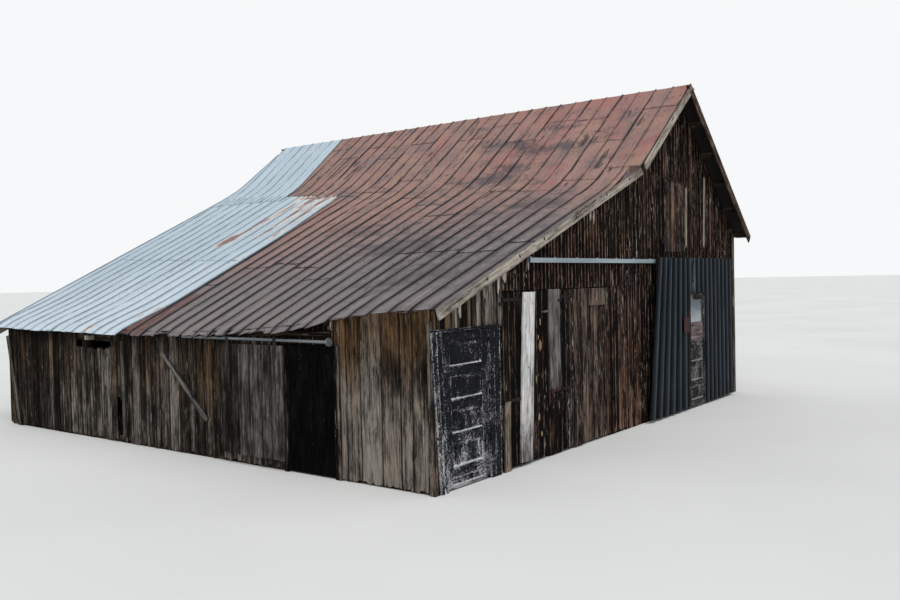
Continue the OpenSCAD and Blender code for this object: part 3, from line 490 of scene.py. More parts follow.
def peeled(name, coat, chip, bare, wear=0.0, sheen=0.08):
    """Old paint with chips of a pale undercoat and some bare wood. Tone z is wear."""
    p = Paint(name, roughness=0.8, sheen=sheen)
    grain = p.attribute("grain")
    worn = p.split(p.attribute("tone"))[2]
    rim = p.split(p.attribute("rim"))
    speck = p.noise(grain, (62, 80, 80), 6, 0.75, 0.3)
    flake = p.noise(grain, (15, 22, 22), 7, 0.74, 0.6)
    area = p.noise(grain, (2.2, 4.5, 4.5), 4, 0.65)
    fine = p.noise(grain, (3, 120, 120), 4, 0.6)
    edge = p.math("MINIMUM", rim[0], rim[1]).step(0.012, 0.0)
    level = speck * 0.72 + flake * 0.28 + (area - 0.5) * 0.40 + (worn * 0.13 + edge * 0.06)
    chips = (level + wear).step(0.590, 0.625)
    colour = p.mix(fine.step(0.38, 0.66), dim(coat, 0.6), dim(coat, 1.5, 3))
    dust = (speck * 0.6 + area * 0.4).step(0.50, 0.62)
    colour = p.mix(dust * 0.22, colour, dim(coat, 1.6, 30))
    colour = p.mix(chips, colour, p.ramp(fine, (0.36, dim(chip, 0.7)), (0.56, chip)))
    wood = (area * 0.7 + p.noise(grain, (2, 60, 60), 4, 0.6) * 0.5).step(0.70, 0.76)
    colour = p.mix(wood * 0.8, colour, bare)
    p.bump(chips * -0.5 + fine * 0.35, 0.004, 0.7)
    return p.done(colour)


def roofing(name, base, low, warm, cool, dirt, red, redness, line, lines, under, rust, metallic=0.0,
            roughness=0.75, dirty=0.8, stained=0.8, mottled=0.75, flaking=None):
    """Crimped sheet. Grain is metres down the slope, along the barn and across the sheet.

    Tone x is lighter or darker, y the end lap, z rust. Rim x is dark smears.
    """
    p = Paint(name, roughness=roughness, metallic=metallic, sheen=0.2)
    grain = p.attribute("grain")
    down, along, across = p.split(grain)
    lighter, lapped, rusted = p.split(p.attribute("tone"))
    flat = p.scaled(grain, (1, 1, 0))
    cloud = p.noise(flat, (0.8, 1.3, 1), 5, 0.62)
    hue = p.noise(flat, (1.3, 2.6, 1), 7, 0.72, 0.4)
    blot = p.noise(flat, (3.9, 2.3, 1), 8, 0.76, 0.5)
    run = p.noise(flat, (0.45, 13, 1), 6, 0.70)
    grit = p.noise(flat, (40, 52, 1), 6, 0.78)
    speck = p.noise(flat, (11, 17, 1), 6, 0.74)
    fleck = p.noise(flat, (13, -15, 1), 5, 0.72)

    # Further down and nearer the front the sheets turn greyer
    place = down - along * 0.28 + (cloud - 0.5) * 3.0
    colour = p.mix(place.step(2.5, 5.5), base, low)
    lower = down.step(2.6, 5.2)
    mottle = (1 - lower) * hue + lower * (hue * 0.30 + run * 0.70)
    mottle = mottle + (grit - 0.5) * 0.60 + (speck - 0.5) * 0.70
    colour = p.mix(mottle.step(0.51, 0.64) * mottled * (1 - lower * 0.55), colour, warm)
    colour = p.mix(mottle.step(0.49, 0.36) * mottled, colour, cool)

    # Redder near the ridge and the front, and in spots
    hot = down * -0.55 - abs(along - 1.5) * 0.5 + (cloud - 0.5) * 6.0
    hot = hot + (grit - 0.5) * 3.0 + (fleck - 0.5) * 6.0
    colour = p.mix(hot.step(-1.9, 1.1) * redness, colour, red)
    spot = (cloud + (fleck - 0.5) * 0.8).step(0.56, 0.66) * (1 - lower)
    colour = p.mix(spot * (redness * 0.6), colour, red)

    # Dirt, more of it in a belt across the slope and in the smears
    belt = abs(down - 3.7).step(1.3, 0.2)
    smear = p.split(p.attribute("rim"))[0]
    level = blot + (speck - 0.5) * 0.90 + (grit - 0.5) + smear * 0.31 + belt * 0.03
    colour = p.mix(level.step(0.55, 0.77) * dirty, colour, dirt)
    shade = run * 0.50 - 0.04 + (grit * 1.20 + lighter * 0.04) + fleck * 0.40
    colour = p.mix(1.0, colour, p.math("MINIMUM", shade, 1.34), "MULTIPLY")
    stain = (rusted + (p.noise(flat, (3.2, 24, 1), 6, 0.75) - 0.5) * 2.6).step(0.37, 0.64)
    if flaking:
        halo = (rusted + (p.noise(flat, (3.6, 20, 1), 6, 0.75) - 0.5) * 2.0).step(0.22, 0.42)
        colour = p.mix(halo * 0.85, colour, flaking)
    colour = p.mix(stain * 0.92, colour, p.ramp(grit, (0.38, dim(rust, 0.7)), (0.62, dim(rust, 1.25))))

    # Every seam and rib shows as a dark line with darker bands along its sides, and each end lap as a dark
    # line: painted shade of the ribs and laps, with dirt washed along them
    off = p.math("PINGPONG", across, SHEET_W / 4)
    middle = p.math("PINGPONG", across, SHEET_W / 2).step(0.20, 0.26) * down.step(5.0, 2.0)
    middle = middle * along.step(4.4, 1.0, 0.30, 1.0)
    worn = p.noise(flat, (1.1, 7, 1), 4, 0.65) - 0.5
    soot_and_shade = tuple(mix(c, d, 0.45) for c, d in zip(dirt, line))
    # Broad painted shade with dirt beside the ribs, low on the slope
    soft = (off + (run - 0.5) * 0.10).step(0.15, 0.0)
    colour = p.mix(soft * (lower * (stained * 0.60)), colour, soot_and_shade)
    wash_and_shade = off.step(lower * 0.022 + 0.034 + worn * 0.28, 0.004) * (1 - middle * 0.5)
    colour = p.mix(wash_and_shade * stained, colour, soot_and_shade)
    width = lower * 0.007 + 0.020 + worn * 0.11
    broken = p.noise(flat, (5, 9, 1), 4, 0.7).step(0.36, 0.54)
    mark = off.step(width, width * 0.4) * (middle * (broken * 0.45 - 0.95) + 1.0) * (broken * 0.28 + 0.72)
    lap = (lapped + worn * 1.3 + lower * 0.10).step(0.82, 0.95) * (lower * 0.50 + 0.45)
    colour = p.mix(p.math("MAXIMUM", mark, lap) * lines, colour, line)
    # Undersides turn dark: painted shade under the sheets
    colour = p.mix(p.facing()[2].step(0.0, -0.2), colour, under)
    p.bump(blot * 0.4 + grit * 0.2, 0.004, 0.35)
    return p.done(colour)


def metal(name, base, worn, rust, amount, roughness=0.5, metallic=0.4, axis="z"):
    """Bare or coated iron with rust where the noise is high."""
    p = Paint(name, roughness=roughness, metallic=metallic, sheen=0.2)
    place = p.turned(axis)
    cloud = p.noise(place, (1.2, 6, 6), 4, 0.6)
    streak = p.noise(place, (0.9, 45, 45), 3, 0.6)
    grit = p.noise(place, (60, 60, 60), 4, 0.65)
    spots = (grit * 0.45 + cloud * 0.55).step(0.62 - amount, 0.70 - amount)
    colour = p.mix((cloud * 0.5 + streak * 0.5).step(0.38, 0.62), base, worn)
    colour = p.mix(spots * 0.85, colour, rust)
    p.bump(grit + spots * 0.4, 0.002, 0.4)
    return p.done(colour)


def crimped_black():
    """Black coat on the crimped sheets, with painted shade in the valleys and a painted highlight on the
    crests and one flank. Tone x is the crest and the flank, z how scratched it is.
    """
    p = Paint("black_sheet", roughness=0.85, sheen=0.03)
    grain = p.attribute("grain")
    crest, _, scratched = p.split(p.attribute("tone"))
    cloud = p.noise(grain, (0.8, 2.5, 1), 5, 0.65)
    streak = p.noise(grain, (0.8, 60, 1), 5, 0.7)
    grit = p.noise(grain, (34, 70, 1), 5, 0.7)
    # Tone x lifts the level: painted shade low in the valleys, painted highlight on the crests
    level = crest + ((streak - 0.5) * 1.1 + (cloud - 0.5) * 0.6) + (grit - 0.5) * 0.5
    colour = p.ramp(level * 0.8, (0.10, (15, 17, 20)), (0.40, (35, 40, 45)), (0.66, (48, 54, 59)),
                    (0.88, (70, 77, 83)))
    scratch = (p.noise(grain, (1.3, 75, 1), 5, 0.72) + scratched * 0.12).step(0.665, 0.71)
    colour = p.mix(scratch * 0.75, colour, (150, 160, 168))
    rust = (cloud * 0.6 + grit * 0.4).step(0.60, 0.66)
    colour = p.mix(rust * 0.5, colour, (52, 44, 41))
    p.bump(grit, 0.002, 0.4)
    return p.done(colour)


def old_pane():
    """Dull glass that is lighter at the foot."""
    p = Paint("old_pane", roughness=0.12)
    p.surface["Transmission Weight"].default_value = 0.35
    place = p.place()
    smear = p.noise(place, (6, 6, 9), 4, 0.6)
    height = p.split(place)[2] * -2.2 + 3.85
    return p.done(p.ramp(smear * 0.5 + height * 0.8, (0.20, (76, 94, 104)), (0.75, (182, 192, 198))))


WALL_DARK = timber("wall_boards_dark", (3, 2, 2), (28, 19, 16), (136, 108, 93), brown=(88, 57, 43),
                   pale=(196, 184, 168), streaks=22.0, flakes=0.9, reach=(0.45, 0.55, 0.685), lit=0.95)
WALL_SIDE = timber("wall_boards_side", (7, 5, 4), (52, 47, 43), (142, 134, 125), brown=(92, 70, 49),
                   streaks=29.0, reach=(0.385, 0.50, 0.65), flakes=0.50)
WALL_REST = timber("wall_boards_rest", (8, 7, 6), (48, 41, 35), (112, 100, 90), brown=(90, 66, 48))
WOOD_GREY = timber("grey_boards", (14, 13, 13), (64, 61, 59), (130, 127, 124), brown=(80, 66, 52), cracks=0.7,
                   streaks=26.0, reach=(0.38, 0.50, 0.66))
WOOD_WHITE = timber("white_board", (94, 90, 88), (185, 182, 181), (228, 226, 226), brown=(128, 112, 102),
                    pale=(236, 235, 234), cracks=0.45, edges=0.3)
WOOD_RAKE = timber("rake_wood", (52, 46, 42), (136, 125, 115), (182, 172, 160), brown=(108, 84, 66),
                   pale=(190, 182, 170), cracks=0.6, edges=0.4)
WOOD_EDGE = timber("dark_rake_wood", (16, 11, 9), (62, 50, 43), (132, 116, 102), brown=(92, 66, 52),
                   cracks=0.6, lit=0.9)
WOOD_TORN = timber("torn_wood", (52, 36, 24), (124, 92, 64), (186, 160, 130), brown=(136, 88, 52), cracks=0.5,
                   edges=0.2)
WOOD_DOOR = timber("door_planks", (4, 3, 3), (30, 24, 21), (118, 103, 93), brown=(84, 57, 43),
                   pale=(184, 176, 168), streaks=20.0, flakes=0.9, reach=(0.43, 0.53, 0.665), lit=0.7)
LOCK_PAINT = timber("lock_rail_wood", (56, 46, 46), (100, 88, 90), (138, 126, 126), brown=(96, 72, 66),
                    edges=0.3)
FRAME_X, FRAME_Y, FRAME_Z = (timber("frame_timber_" + axis, (10, 8, 6), (46, 37, 30), (96, 80, 68), axis=axis)
                             for axis in "xyz")
BLACK_PAINT = peeled("black_paint", (17, 18, 22), (210, 210, 214), (60, 54, 50), wear=-0.014)
DOOR_BLACK = peeled("side_door_black", (10, 10, 10), (96, 94, 90), (22, 19, 17), wear=-0.05, sheen=0.0)
WICKET_PAINT = peeled("wicket_paint", (16, 15, 17), (150, 144, 142), (70, 60, 55), wear=-0.035)
# under is painted shade on the sheets' undersides; line colours the rib and lap lines, painted shade with
# dirt
ROOF_RUSTY = roofing("rusty_sheets", base=(151, 120, 112), low=(124, 118, 119), warm=(164, 132, 112),
                     cool=(112, 103, 105), dirt=(70, 67, 72), red=(164, 92, 90), redness=0.50,
                     line=(32, 28, 30), lines=0.90, under=(30, 25, 23), rust=(96, 60, 54))
ROOF_SILVER = roofing("silver_sheets", base=(178, 194, 205), low=(198, 212, 222), warm=(200, 212, 220),
                      cool=(166, 182, 194), dirt=(156, 170, 182), red=(196, 208, 216), redness=0.4,
                      line=(98, 110, 120), lines=0.74, under=(52, 56, 58), rust=(124, 72, 54), metallic=0.1,
                      roughness=0.5, dirty=0.5, stained=0.30, mottled=0.35, flaking=(226, 216, 202))
BLACK_METAL = crimped_black()
GALVANISED = metal("galvanised", (128, 142, 150), (158, 170, 176), (96, 74, 62), 0.02, axis="x")
PIPE = metal("pipe_metal", (98, 104, 108), (134, 142, 144), (72, 54, 46), 0.05, axis="y")
HANGER = metal("hanger_metal", (34, 32, 30), (50, 48, 45), (44, 34, 30), 0.05, roughness=0.9, metallic=0.0,
               axis="y")
IRON = metal("rusty_iron", (17, 13, 13), (34, 25, 23), (58, 38, 32), 0.06, roughness=0.9, metallic=0.0)
IRON_RED = metal("red_rusty_plate", (38, 24, 22), (56, 36, 32), (74, 48, 40), 0.06, roughness=0.85,
                 metallic=0.0)
GLASS = old_pane()

# Place along a sheet's width and height of the crimped section
CRIMP = [(-0.012, 0.003), (-0.005, 0.013), (0.0, 0.018), (0.008, 0.010), (0.017, 0.0), (0.10, -0.002),
         (0.20, -0.002), (0.289, 0.0), (0.298, 0.010), (0.305, 0.016), (0.312, 0.010), (0.321, 0.0),
         (0.41, -0.002), (0.51, -0.002), (0.593, 0.0), (0.602, 0.010), (0.610, 0.018), (0.615, 0.013),
         (0.622, 0.003)]
SHEET_THIN = 0.0016
ROW_STEP = 0.13

# Where each column of old sheets on the left slope has its end laps, from the front
LAPS = [(0.24, 0.86, 1.54), (0.57, 0.96, 1.60), (0.28, 1.06, 1.57), (0.26, 1.05, 1.56), (0.46, 1.26),
        (0.20, 1.16, 1.70), (0.36, 1.09, 1.62), (0.89, 1.59), (0.33, 1.01, 1.61), (0.52, 1.05, 1.72),
        (0.30, 1.05), (0.44, 1.03), (0.25, 1.03)]
LAP = 0.035
# The last column that reaches the eave, beside the bright sheets. Those after it end at the bend
EDGE_COLUMN = 9
SHORT_COLUMN = EDGE_COLUMN + 1
SHORT_EAVE_COLUMNS, EAVE_SHARE, SHORT_EAVE_SHARE = 3, 2.0, 1.975
# The front column is cut off beside the shed's front below this share
CUT_SHARE, CUT_W = 0.80, 0.212

# Where the bright sheets begin along the barn above and below the bend, and how their edges lean
SILVER_UP, SILVER_LOW = 7.64, 5.56
UP_LEAN, LOW_LEAN, EAVE_LEAN = -0.24, 0.16, 0.20

# Dark smears on the old sheets: share down the slope, place along the barn, length, width and strength
SMEARS = [(0.57, 1.42, 0.10, 0.35, 0.7), (0.60, 1.97, 0.10, 0.40, 0.8), (0.80, 2.10, 0.16, 0.30, 0.8),
          (0.92, 2.64, 0.12, 0.45, 0.9), (0.95, 1.60, 0.07, 0.50, 0.5), (1.02, 3.40, 0.06, 0.70, 0.5),
          (0.45, 3.20, 0.08, 0.40, 0.5), (1.20, 0.90, 0.14, 0.50, 0.6), (1.50, 2.60, 0.10, 0.80, 0.5),
          (1.35, 3.90, 0.10, 0.60, 0.5), (0.97, 5.60, 0.05, 0.80, 0.5), (0.20, 3.60, 0.05, 0.30, 0.5),
          (1.75, 1.20, 0.15, 0.60, 0.45), (0.12, 2.40, 0.04, 0.30, 0.6), (1.62, 0.80, 0.55, 0.90, 0.40),
          (1.45, 2.30, 0.35, 0.80, 0.35), (0.33, 1.75, 0.07, 0.45, 0.7), (0.44, 0.75, 0.08, 0.30, 0.6),
          (0.50, 2.55, 0.08, 0.60, 0.6), (0.26, 0.55, 0.07, 0.22, 0.6)]
SMEAR_REACH = (0.55, 1.25)
# Rust marks on the bright sheets, given in the same way
MARKS = [(1.41, 6.86, 0.05, 0.12, 1.5), (1.30, 6.80, 0.12, 0.08, 0.8), (1.17, 6.74, 0.14, 0.09, 0.7),
         (1.10, 6.42, 0.08, 0.07, 1.0), (1.20, 6.26, 0.12, 0.05, 0.9), (1.33, 6.16, 0.10, 0.05, 0.7),
         (1.11, 6.05, 0.10, 0.07, 1.0), (1.22, 5.92, 0.10, 0.05, 0.9), (1.36, 5.76, 0.08, 0.05, 0.7),
         (1.05, 6.40, 0.025, 0.70, 0.8), (1.05, 5.72, 0.050, 0.10, 1.1), (1.55, 5.69, 0.025, 0.04, 0.8),
         (1.59, 6.31, 0.03, 0.05, 0.8), (1.63, 7.00, 0.03, 0.06, 0.5), (1.73, 6.48, 0.04, 0.03, 0.6),
         (1.89, 5.88, 0.02, 0.05, 0.8), (1.91, 6.72, 0.02, 0.05, 0.7), (1.98, 6.63, 0.02, 0.12, 0.7),
         (1.86, 5.70, 0.03, 0.03, 0.6), (1.46, 5.62, 0.03, 0.03, 0.6)]
MARK_REACH = (1.0, 1.0)


def blots(u, y, marks, reach):
    """How strongly each mark shows at a place on the slope."""
    return [power * near(u, mu, lu * reach[0]) * near(y, my, ly * reach[1])
            for mu, my, lu, ly, power in marks]


def old_smear(u, y):
    return sum(blots(u, y, SMEARS, SMEAR_REACH))


def silver_rust(u, y):
    return max(blots(u, y, MARKS, MARK_REACH))


def end_rust(u, y):
    """The last old sheet before the bright ones is red at the eave."""
    return 0.62 * smooth((u - 1.62) / 0.20) * smooth((y - 5.15) / 0.1)


def up_shift(u):
    return UP_LEAN * u


def low_shift(u):
    return LOW_LEAN * smooth((1.42 - u) / 0.36) + EAVE_LEAN * smooth((u - 1.80) / 0.20)


def bright_from(u):
    """Where the bright sheets begin along the barn."""
    return SILVER_UP + up_shift(u) if u < 1.06 else SILVER_LOW + low_shift(u)


def nothing(*place):
    return 0.0


def sheet(work, slope, y0, u0, u1, level, tone, from_v=-1.0, ragged=0.0, curl=0.006, rust=nothing,
          skew=nothing, covered=None, smear=nothing, lip=(0.0, 0.0), joint=1.0):
    """One crimped sheet from share u0 to u1 down a slope, with its front edge at y0.

    Beyond covered(u) along the barn it lies flat under the next sheets. Its end hangs
    by a lip, unevenly, and lower at the ribs.
    """
    spots = [c for c in CRIMP if c[0] > from_v]
    if from_v > 0:
        spots = [(from_v, 0.0)] + [c for c in spots if c[0] > from_v + 0.02]
    length = math.dist(slope(u0, y0), slope(u1, y0))
    rows = max(3, int(length / ROW_STEP) + 1)
    ends = [work.rng.uniform(0, ragged) for _ in spots]
    hang = [(1.0 if rise > 0.005 else 0.45) * lip[0] + work.rng.uniform(0, lip[1]) for _, rise in spots]
    seed = work.rng.uniform(0, 100)
    grid = []
    for j in range(rows):
        t = j / (rows - 1)
        from_end = (1 - t) * length
        line = []
        for i, (v, rise) in enumerate(spots):
            u = mix(u0, u1 - ends[i], t)
            y = min(max(y0 + v + skew(u), MIN_Y), MAX_Y - 0.0001 * (len(spots) - i))
            x, z = slope(u, y)
            wave = noise.noise((u * 4, y * 2.6, 1.7)) * 0.006 * (1.0 if rise <= 0 else 0.3)
            lift = level + curl * math.exp(-from_end / 0.10) * (0.6 + noise.noise((y * 9, seed, 0)))
            if covered and y > covered(u) + 0.01:
                z += max(wave, 0.0) - 0.003
            else:
                z += max(rise + wave + max(lift, level), -0.003)
            z -= hang[i] * math.exp(-from_end / 0.05)
            grain = (math.dist((x, z), (RIDGE_X, RIDGE_Z)), y, v)
            z = min(z, ROOF_TOP)
            tones = (tone, joint * math.exp(-from_end / 0.07), rust(u, y))
            line.append(((x, y, z), (x, y, z - SHEET_THIN), grain, tones, (smear(u, y), 0.0, 0.0)))
        grid.append(line)
    work.skin(grid)


def rusty_left():
    work = Work(11)
    for i, laps in enumerate(LAPS):
        eave = SHORT_EAVE_SHARE if i < SHORT_EAVE_COLUMNS else EAVE_SHARE - 0.003 * (i % 3)
        ends = [0.0, *laps] if i >= SHORT_COLUMN else [0.0, *laps, eave]
        for k, (a, b) in enumerate(zip(ends, ends[1:])):
            tone = work.rng.uniform(-1, 1)
            if b > 1.9:
                deep = i >= SHORT_EAVE_COLUMNS
                end = dict(ragged=0.016 if deep else 0.008, curl=0.003, joint=0.84,
                           lip=(0.030, 0.034) if deep else (0.014, 0.018))
            else:
                end = dict(ragged=0.007, curl=work.rng.uniform(0.004, 0.012))
            cut = i == 0 and a > CUT_SHARE
            lap = 0.010 if cut and a < 0.9 else LAP
            level = 0.0012 * (i % 2) - 0.0022 * k + 0.0025
            sheet(work, bent, MIN_Y + i * SHEET_W, a - lap if k else a, b, level, tone,
                  from_v=CUT_W if cut else -1.0, smear=old_smear,
                  rust=end_rust if i == EDGE_COLUMN else nothing,
                  covered=bright_from if i >= EDGE_COLUMN else None, **end)
    work.piece("rusty_roof_sheets", ROOF_RUSTY, "rusty_roof_metal",
               "upper_sheets_rusty", "lower_sheets_front", "lower_sheets_rusty")


def silver_left():
    work = Work(12)
    back = MAX_Y - 0.04
    for k in range(7):
        y0 = SILVER_LOW + k * SHEET_W
        for j, (a, b) in enumerate(((1.03, 1.56), (1.535, 2.0 - 0.002 * (k % 3)))):
            while y0 + low_shift(a) > back:
                a += 0.01
            if a < b - 0.05:
                sheet(work, bent, y0, a, b, 0.0012 * (k % 2) - 0.002 * j + 0.006, work.rng.uniform(-1, 1),
                      curl=0.002, rust=silver_rust, skew=low_shift, lip=(0.030 * j, 0.008 * j), joint=0.8)
    for k in range(4):
        y0 = SILVER_UP + k * SHEET_W
        sheet(work, bent, y0, max(0.0, (y0 - back) / -UP_LEAN), 1.08 + 0.016 * k, 0.0012 * (k % 2) + 0.009,
              work.rng.uniform(-1, 1), curl=0.002, skew=up_shift)
    work.piece("silver_roof_sheets", ROOF_SILVER, "silver_roof_metal",
               "upper_sheets_silver", "lower_sheets_silver")


def right_side():
    work = Work(13)
    for i in range(16):
        lap = work.rng.uniform(0.42, 0.62)
        for k, (a, b) in enumerate(((0.0, lap), (lap - 0.04, 1.0))):
            sheet(work, right_slope, MIN_Y + i * SHEET_W, a, b, 0.0012 * (i % 2) - 0.002 * k + 0.002,
                  work.rng.uniform(-1, 1), ragged=0.004 * k, curl=0.005)
    work.piece("right_roof_sheets", ROOF_RUSTY, "rusty_roof_metal", "right_sheets")


def rake(work, a, b, y, deep, tone, out=-Y, plumb_end=False):
    """A board under the roof's edge from a down to b, each x and z on its top edge."""
    a, b = Vector((a[0], y, a[1])), Vector((b[0], y, b[1]))
    along = (b - a).normalized()
    across = Vector((along.z, 0, -along.x))
    if across.z > 0:
        across = -across
    slant = abs(along.z / along.x)
    length = (b - a).length
    work.plank((along, across, out, None), a, deep * abs(along.x), lambda v: -v * slant,
               (lambda v: length - v * slant) if plumb_end else length, thick=0.022, tone=tone, step=0.2,
               edge=0.0025, warp=0.001)


def rake_top(x, y):
    return x, roof_z(x, y) - RAKE_UNDER


def rakes():
    work = Work(21)
    y = MIN_Y + 0.002
    ridge_left, ridge_right = RIDGE_X - 0.001, (RIDGE_X + 0.001, right_z(RIDGE_X) - RAKE_UNDER)
    main_deep, right_deep, right_end = 0.175, 0.165, MAX_X - 0.012
    rake(work, rake_top(ridge_left, y), rake_top(4.78, y), y, main_deep, (0.9, 0.1, 0.25))
    work.piece("main_rake_wood", WOOD_RAKE, "old_timber", "main_rake_boards")
    rake(work, ridge_right, (right_end, right_z(MAX_X) + 0.0025), y, right_deep, (-0.2, 0.5, 0.0))
    work.piece("right_rake_wood", WOOD_EDGE, "old_timber", "main_rake_boards")

    y = SHED_FRONT + 0.001
    kx = kink_x(y)
    zero, slope = shed_z(0.0, y) - RAKE_UNDER, (main_z(kx) - eave_z(y)) / (kx - MIN_X)

    def top(x):
        return zero + x * slope

    joints = [kx + 0.755, 3.62, 1.95, -0.020]
    for k, (x0, x1) in enumerate(zip(joints, joints[1:])):
        start = x0 - (0.004 if k else 0)
        rake(work, (start, top(x0)), (x1, top(x1)), y, 0.125, (0.3, 0.0, 0.4), plumb_end=k < 2)
    # Old knots and nail heads along the upper edge of the board
    for x in (0.92, 1.62, 2.20, 3.05, 3.95, 4.70):
        z = top(x) - 0.040
        work.rod((x, y, z), (x, y - 0.006, z), 0.020, tone=(-5.0, 0.6, 0))
        work.rod((x + 0.004, y, z), (x + 0.004, y - 0.009, z + 0.002), 0.009, tone=(1.5, 0.0, 0.8))
    work.piece("shed_rake_wood", WOOD_RAKE, "old_timber", "shed_rake_board")

    # A tapered strip of sheet closes the hollow of the bend above the rake board
    grid = []
    for share in (0.0, 0.5, 1.0):
        line = []
        for k in range(13):
            x = mix(kx - 0.45, kx + 0.745, k / 12)
            u = (RIDGE_X - x) / (RIDGE_X - kx) if x > kx else 1 + (kx - x) / (kx - MIN_X)
            z = mix(top(x) - 0.004, bent(u, y)[1] - 0.003, share)
            line.append(((x, y, z), (x, y + 0.020, z), ((RIDGE_X - x) * 1.2, z, 0.15), (0.3, 0.5, 0.0)))
        grid.append(line)
    work.skin(grid)
    work.piece("tapered_rake_sheet", ROOF_RUSTY, "rusty_roof_metal")

    y = MAX_Y - 0.002
    kx = kink_x(y)
    rake(work, rake_top(ridge_left, y), rake_top(kx, y), y, main_deep, (0, 0.2, 0), out=Y, plumb_end=True)
    rake(work, rake_top(kx - 0.002, y), rake_top(-0.10, y), y, main_deep, (0, 0.2, 0), out=Y)
    rake(work, ridge_right, (right_end, right_z(MAX_X) + 0.002), y, right_deep, (-0.8, 0.4, 0.0), out=Y)
    work.piece("back_rake_wood", WOOD_RAKE, "old_timber", "back_rake_boards")


def front_walls():
    work = Work(31)

    # Over the corner door: brown and pale boards, whitish where the paint has held
    def over_door(x, z):
        return (0.1 + 0.6 * near(x, 0.6, 0.5), 0.32 + 0.2 * near(x, 0.2, 0.3),
                0.62 * near(x, 0.40, 0.07) + 0.66 * near(x, 0.82, 0.08) + 0.55 * near(x, 1.17, 0.05))

    work.wall(FRONT, work.cuts(0.0, 1.32, 0.06, 0.12), 1.745, front_top, over_door, spread=1.9)
    work.piece("boards_over_corner_door", WALL_SIDE, "brown_board", "front_wall_over_corner_door")

    work.wall(FRONT, [0.0, 0.125], 0.0, 1.74)
    work.wall(FRONT, [1.032, 1.16, 1.32], 0.0, 1.74, rag=(0.03, 0))
    work.bar((1.375, 0.0, 0.001), (1.385, -0.004, 0.84), 0.125, 0.018, tone=(0.9, 0.0, 0.40), rag=(0.0, 0.01))
    work.wall(FRONT, work.cuts(8.905, BARN_W - 0.001, 0.10, 0.18), 0.0, 2.448, rag=(0.04, 0))
    work.piece("boards_at_ends", WALL_DARK, "dark_board", "front_wall_ends")

    # Darker towards the sliding door and under the track: painted shade of the door and the track; lighter at
    # the foot
    def middle(x, z):
        return (-1.2 + 1.2 * smooth((0.9 - z) / 0.9) - 3.2 * smooth((x - 4.9) / 0.8)
                - 0.8 * smooth((z - 1.6) / 0.5), 0.22, 0.0)

    work.wall(FRONT, work.cuts(4.092, 5.798, 0.07, 0.14), 0.0, 2.148, middle, rag=(0.05, 0), spread=1.3)
    work.piece("boards_in_the_middle", WALL_DARK, "dark_board", "front_wall_middle")

    # Between the plank doors: a bluish grey board, cut off square, over a darker one
    work.plank(FRONT, 2.395, 0.30, 0.0, 0.838, tone=(-0.3, 0.5, 0.0), rag=(0.03, 0), proud=-0.004)
    work.piece("post_board_low", WALL_DARK, "dark_board", "front_wall_post_board")
    work.plank(FRONT, 2.40, 0.29, 0.843, 2.147, proud=0.004, step=0.2,
               tone=lambda u, v: (0.9 + 0.9 * smooth((u - 1.2) / 0.8), 0.50 * smooth((1.4 - u) / 0.6), 0.0))
    work.piece("post_board_grey", WOOD_GREY, "grey_board", "front_wall_post_board")
    work.bar((2.425, -0.004, 0.835), (2.690, -0.004, 0.840), 0.034, 0.006)
    work.bar((2.445, -0.004, 0.885), (2.445, -0.004, 0.800), 0.030, 0.008)
    work.piece("post_board_strap", IRON_RED, "rusty_iron")

    # A dark band just over the door track: painted shade of the track, with soot
    def high(x, z):
        light = -1.9 + 0.3 * smooth((z - 2.9) / 1.4) - 3.0 * near(z, 2.32, 0.30) * smooth((x - 1.5) / 0.8)
        return light, 0.30, 0.0

    # The gable, with wider boards under and over the loft door
    for a, b, lo, hi, low, wide in ((1.322, 5.80, 2.153, front_top, 0.065, 0.135),
                                    (5.80, 6.148, 2.453, front_top, 0.065, 0.135),
                                    (7.042, BARN_W - 0.001, 2.453, front_top, 0.065, 0.135),
                                    (6.15, 7.04, 2.453, 2.678, 0.08, 0.14),
                                    (6.15, 7.04, 3.872, front_top, 0.08, 0.14)):
        work.wall(FRONT, work.cuts(a, b, low, wide), lo, hi, high, spread=1.4)
    work.piece("boards_of_gable", WALL_DARK, "dark_board", "front_gable")

    # Narrow battens, two of them bleached, and the pale ends that hang below the rake
    for x0, z0, x1, z1, w in ((7.10, 3.80, 7.06, 2.72, 0.036), (7.96, 4.05, 7.90, 2.73, 0.042)):
        work.bar((x0, 0.0, z0), (x1, 0.0, z1), w, 0.012, tone=(0.9, 0.1, 0.9), step=0.25, edge=0.007,
                 rag=(0.05, 0.10))
    work.piece("pale_battens", WOOD_RAKE, "old_timber")
    for x0, z0, x1, z1, w in ((7.58, 4.30, 7.54, 3.55, 0.030), (8.35, 3.65, 8.31, 2.80, 0.028),
                              (5.32, 3.60, 5.30, 2.90, 0.030), (6.60, 4.75, 6.585, 4.20, 0.030)):
        work.bar((x0, 0.0, z0), (x1, 0.0, z1), w, 0.012, tone=(0.2, 0.4, 0.0), step=0.15, edge=0.008,
                 rag=(0.06, 0.12))
    work.piece("brown_battens", WALL_SIDE, "old_timber")
    for x, w, length, light in ((0.45, 0.050, 0.17, 0.9), (0.93, 0.045, 0.16, 0.5), (0.985, 0.035, 0.24, 0.3),
                                (1.04, 0.030, 0.12, 0.2), (1.225, 0.045, 0.21, 0.9), (1.33, 0.085, 0.14, 0.7),
                                (1.91, 0.035, 0.19, 0.8), (3.38, 0.030, 0.10, 0.4), (3.55, 0.050, 0.15, 0.8),
                                (3.66, 0.035, 0.22, 0.8)):
        hang = shed_z(x, SHED_FRONT) - 0.13
        tip = work.rng.uniform(0.25, 0.75) * w
        foot = hang - length
        work.plank(FRONT, x, w, lambda v: foot + abs(v - tip) * 2.2 + 0.02 * math.sin(v * 260), hang + 0.10,
                   thick=0.010, cols=5, tone=(-0.6 + 2.6 * light, 0.25, 0.7 * light), proud=0.011, step=0.08,
                   edge=0.006)
    work.piece("pale_slivers", WOOD_RAKE, "old_timber")


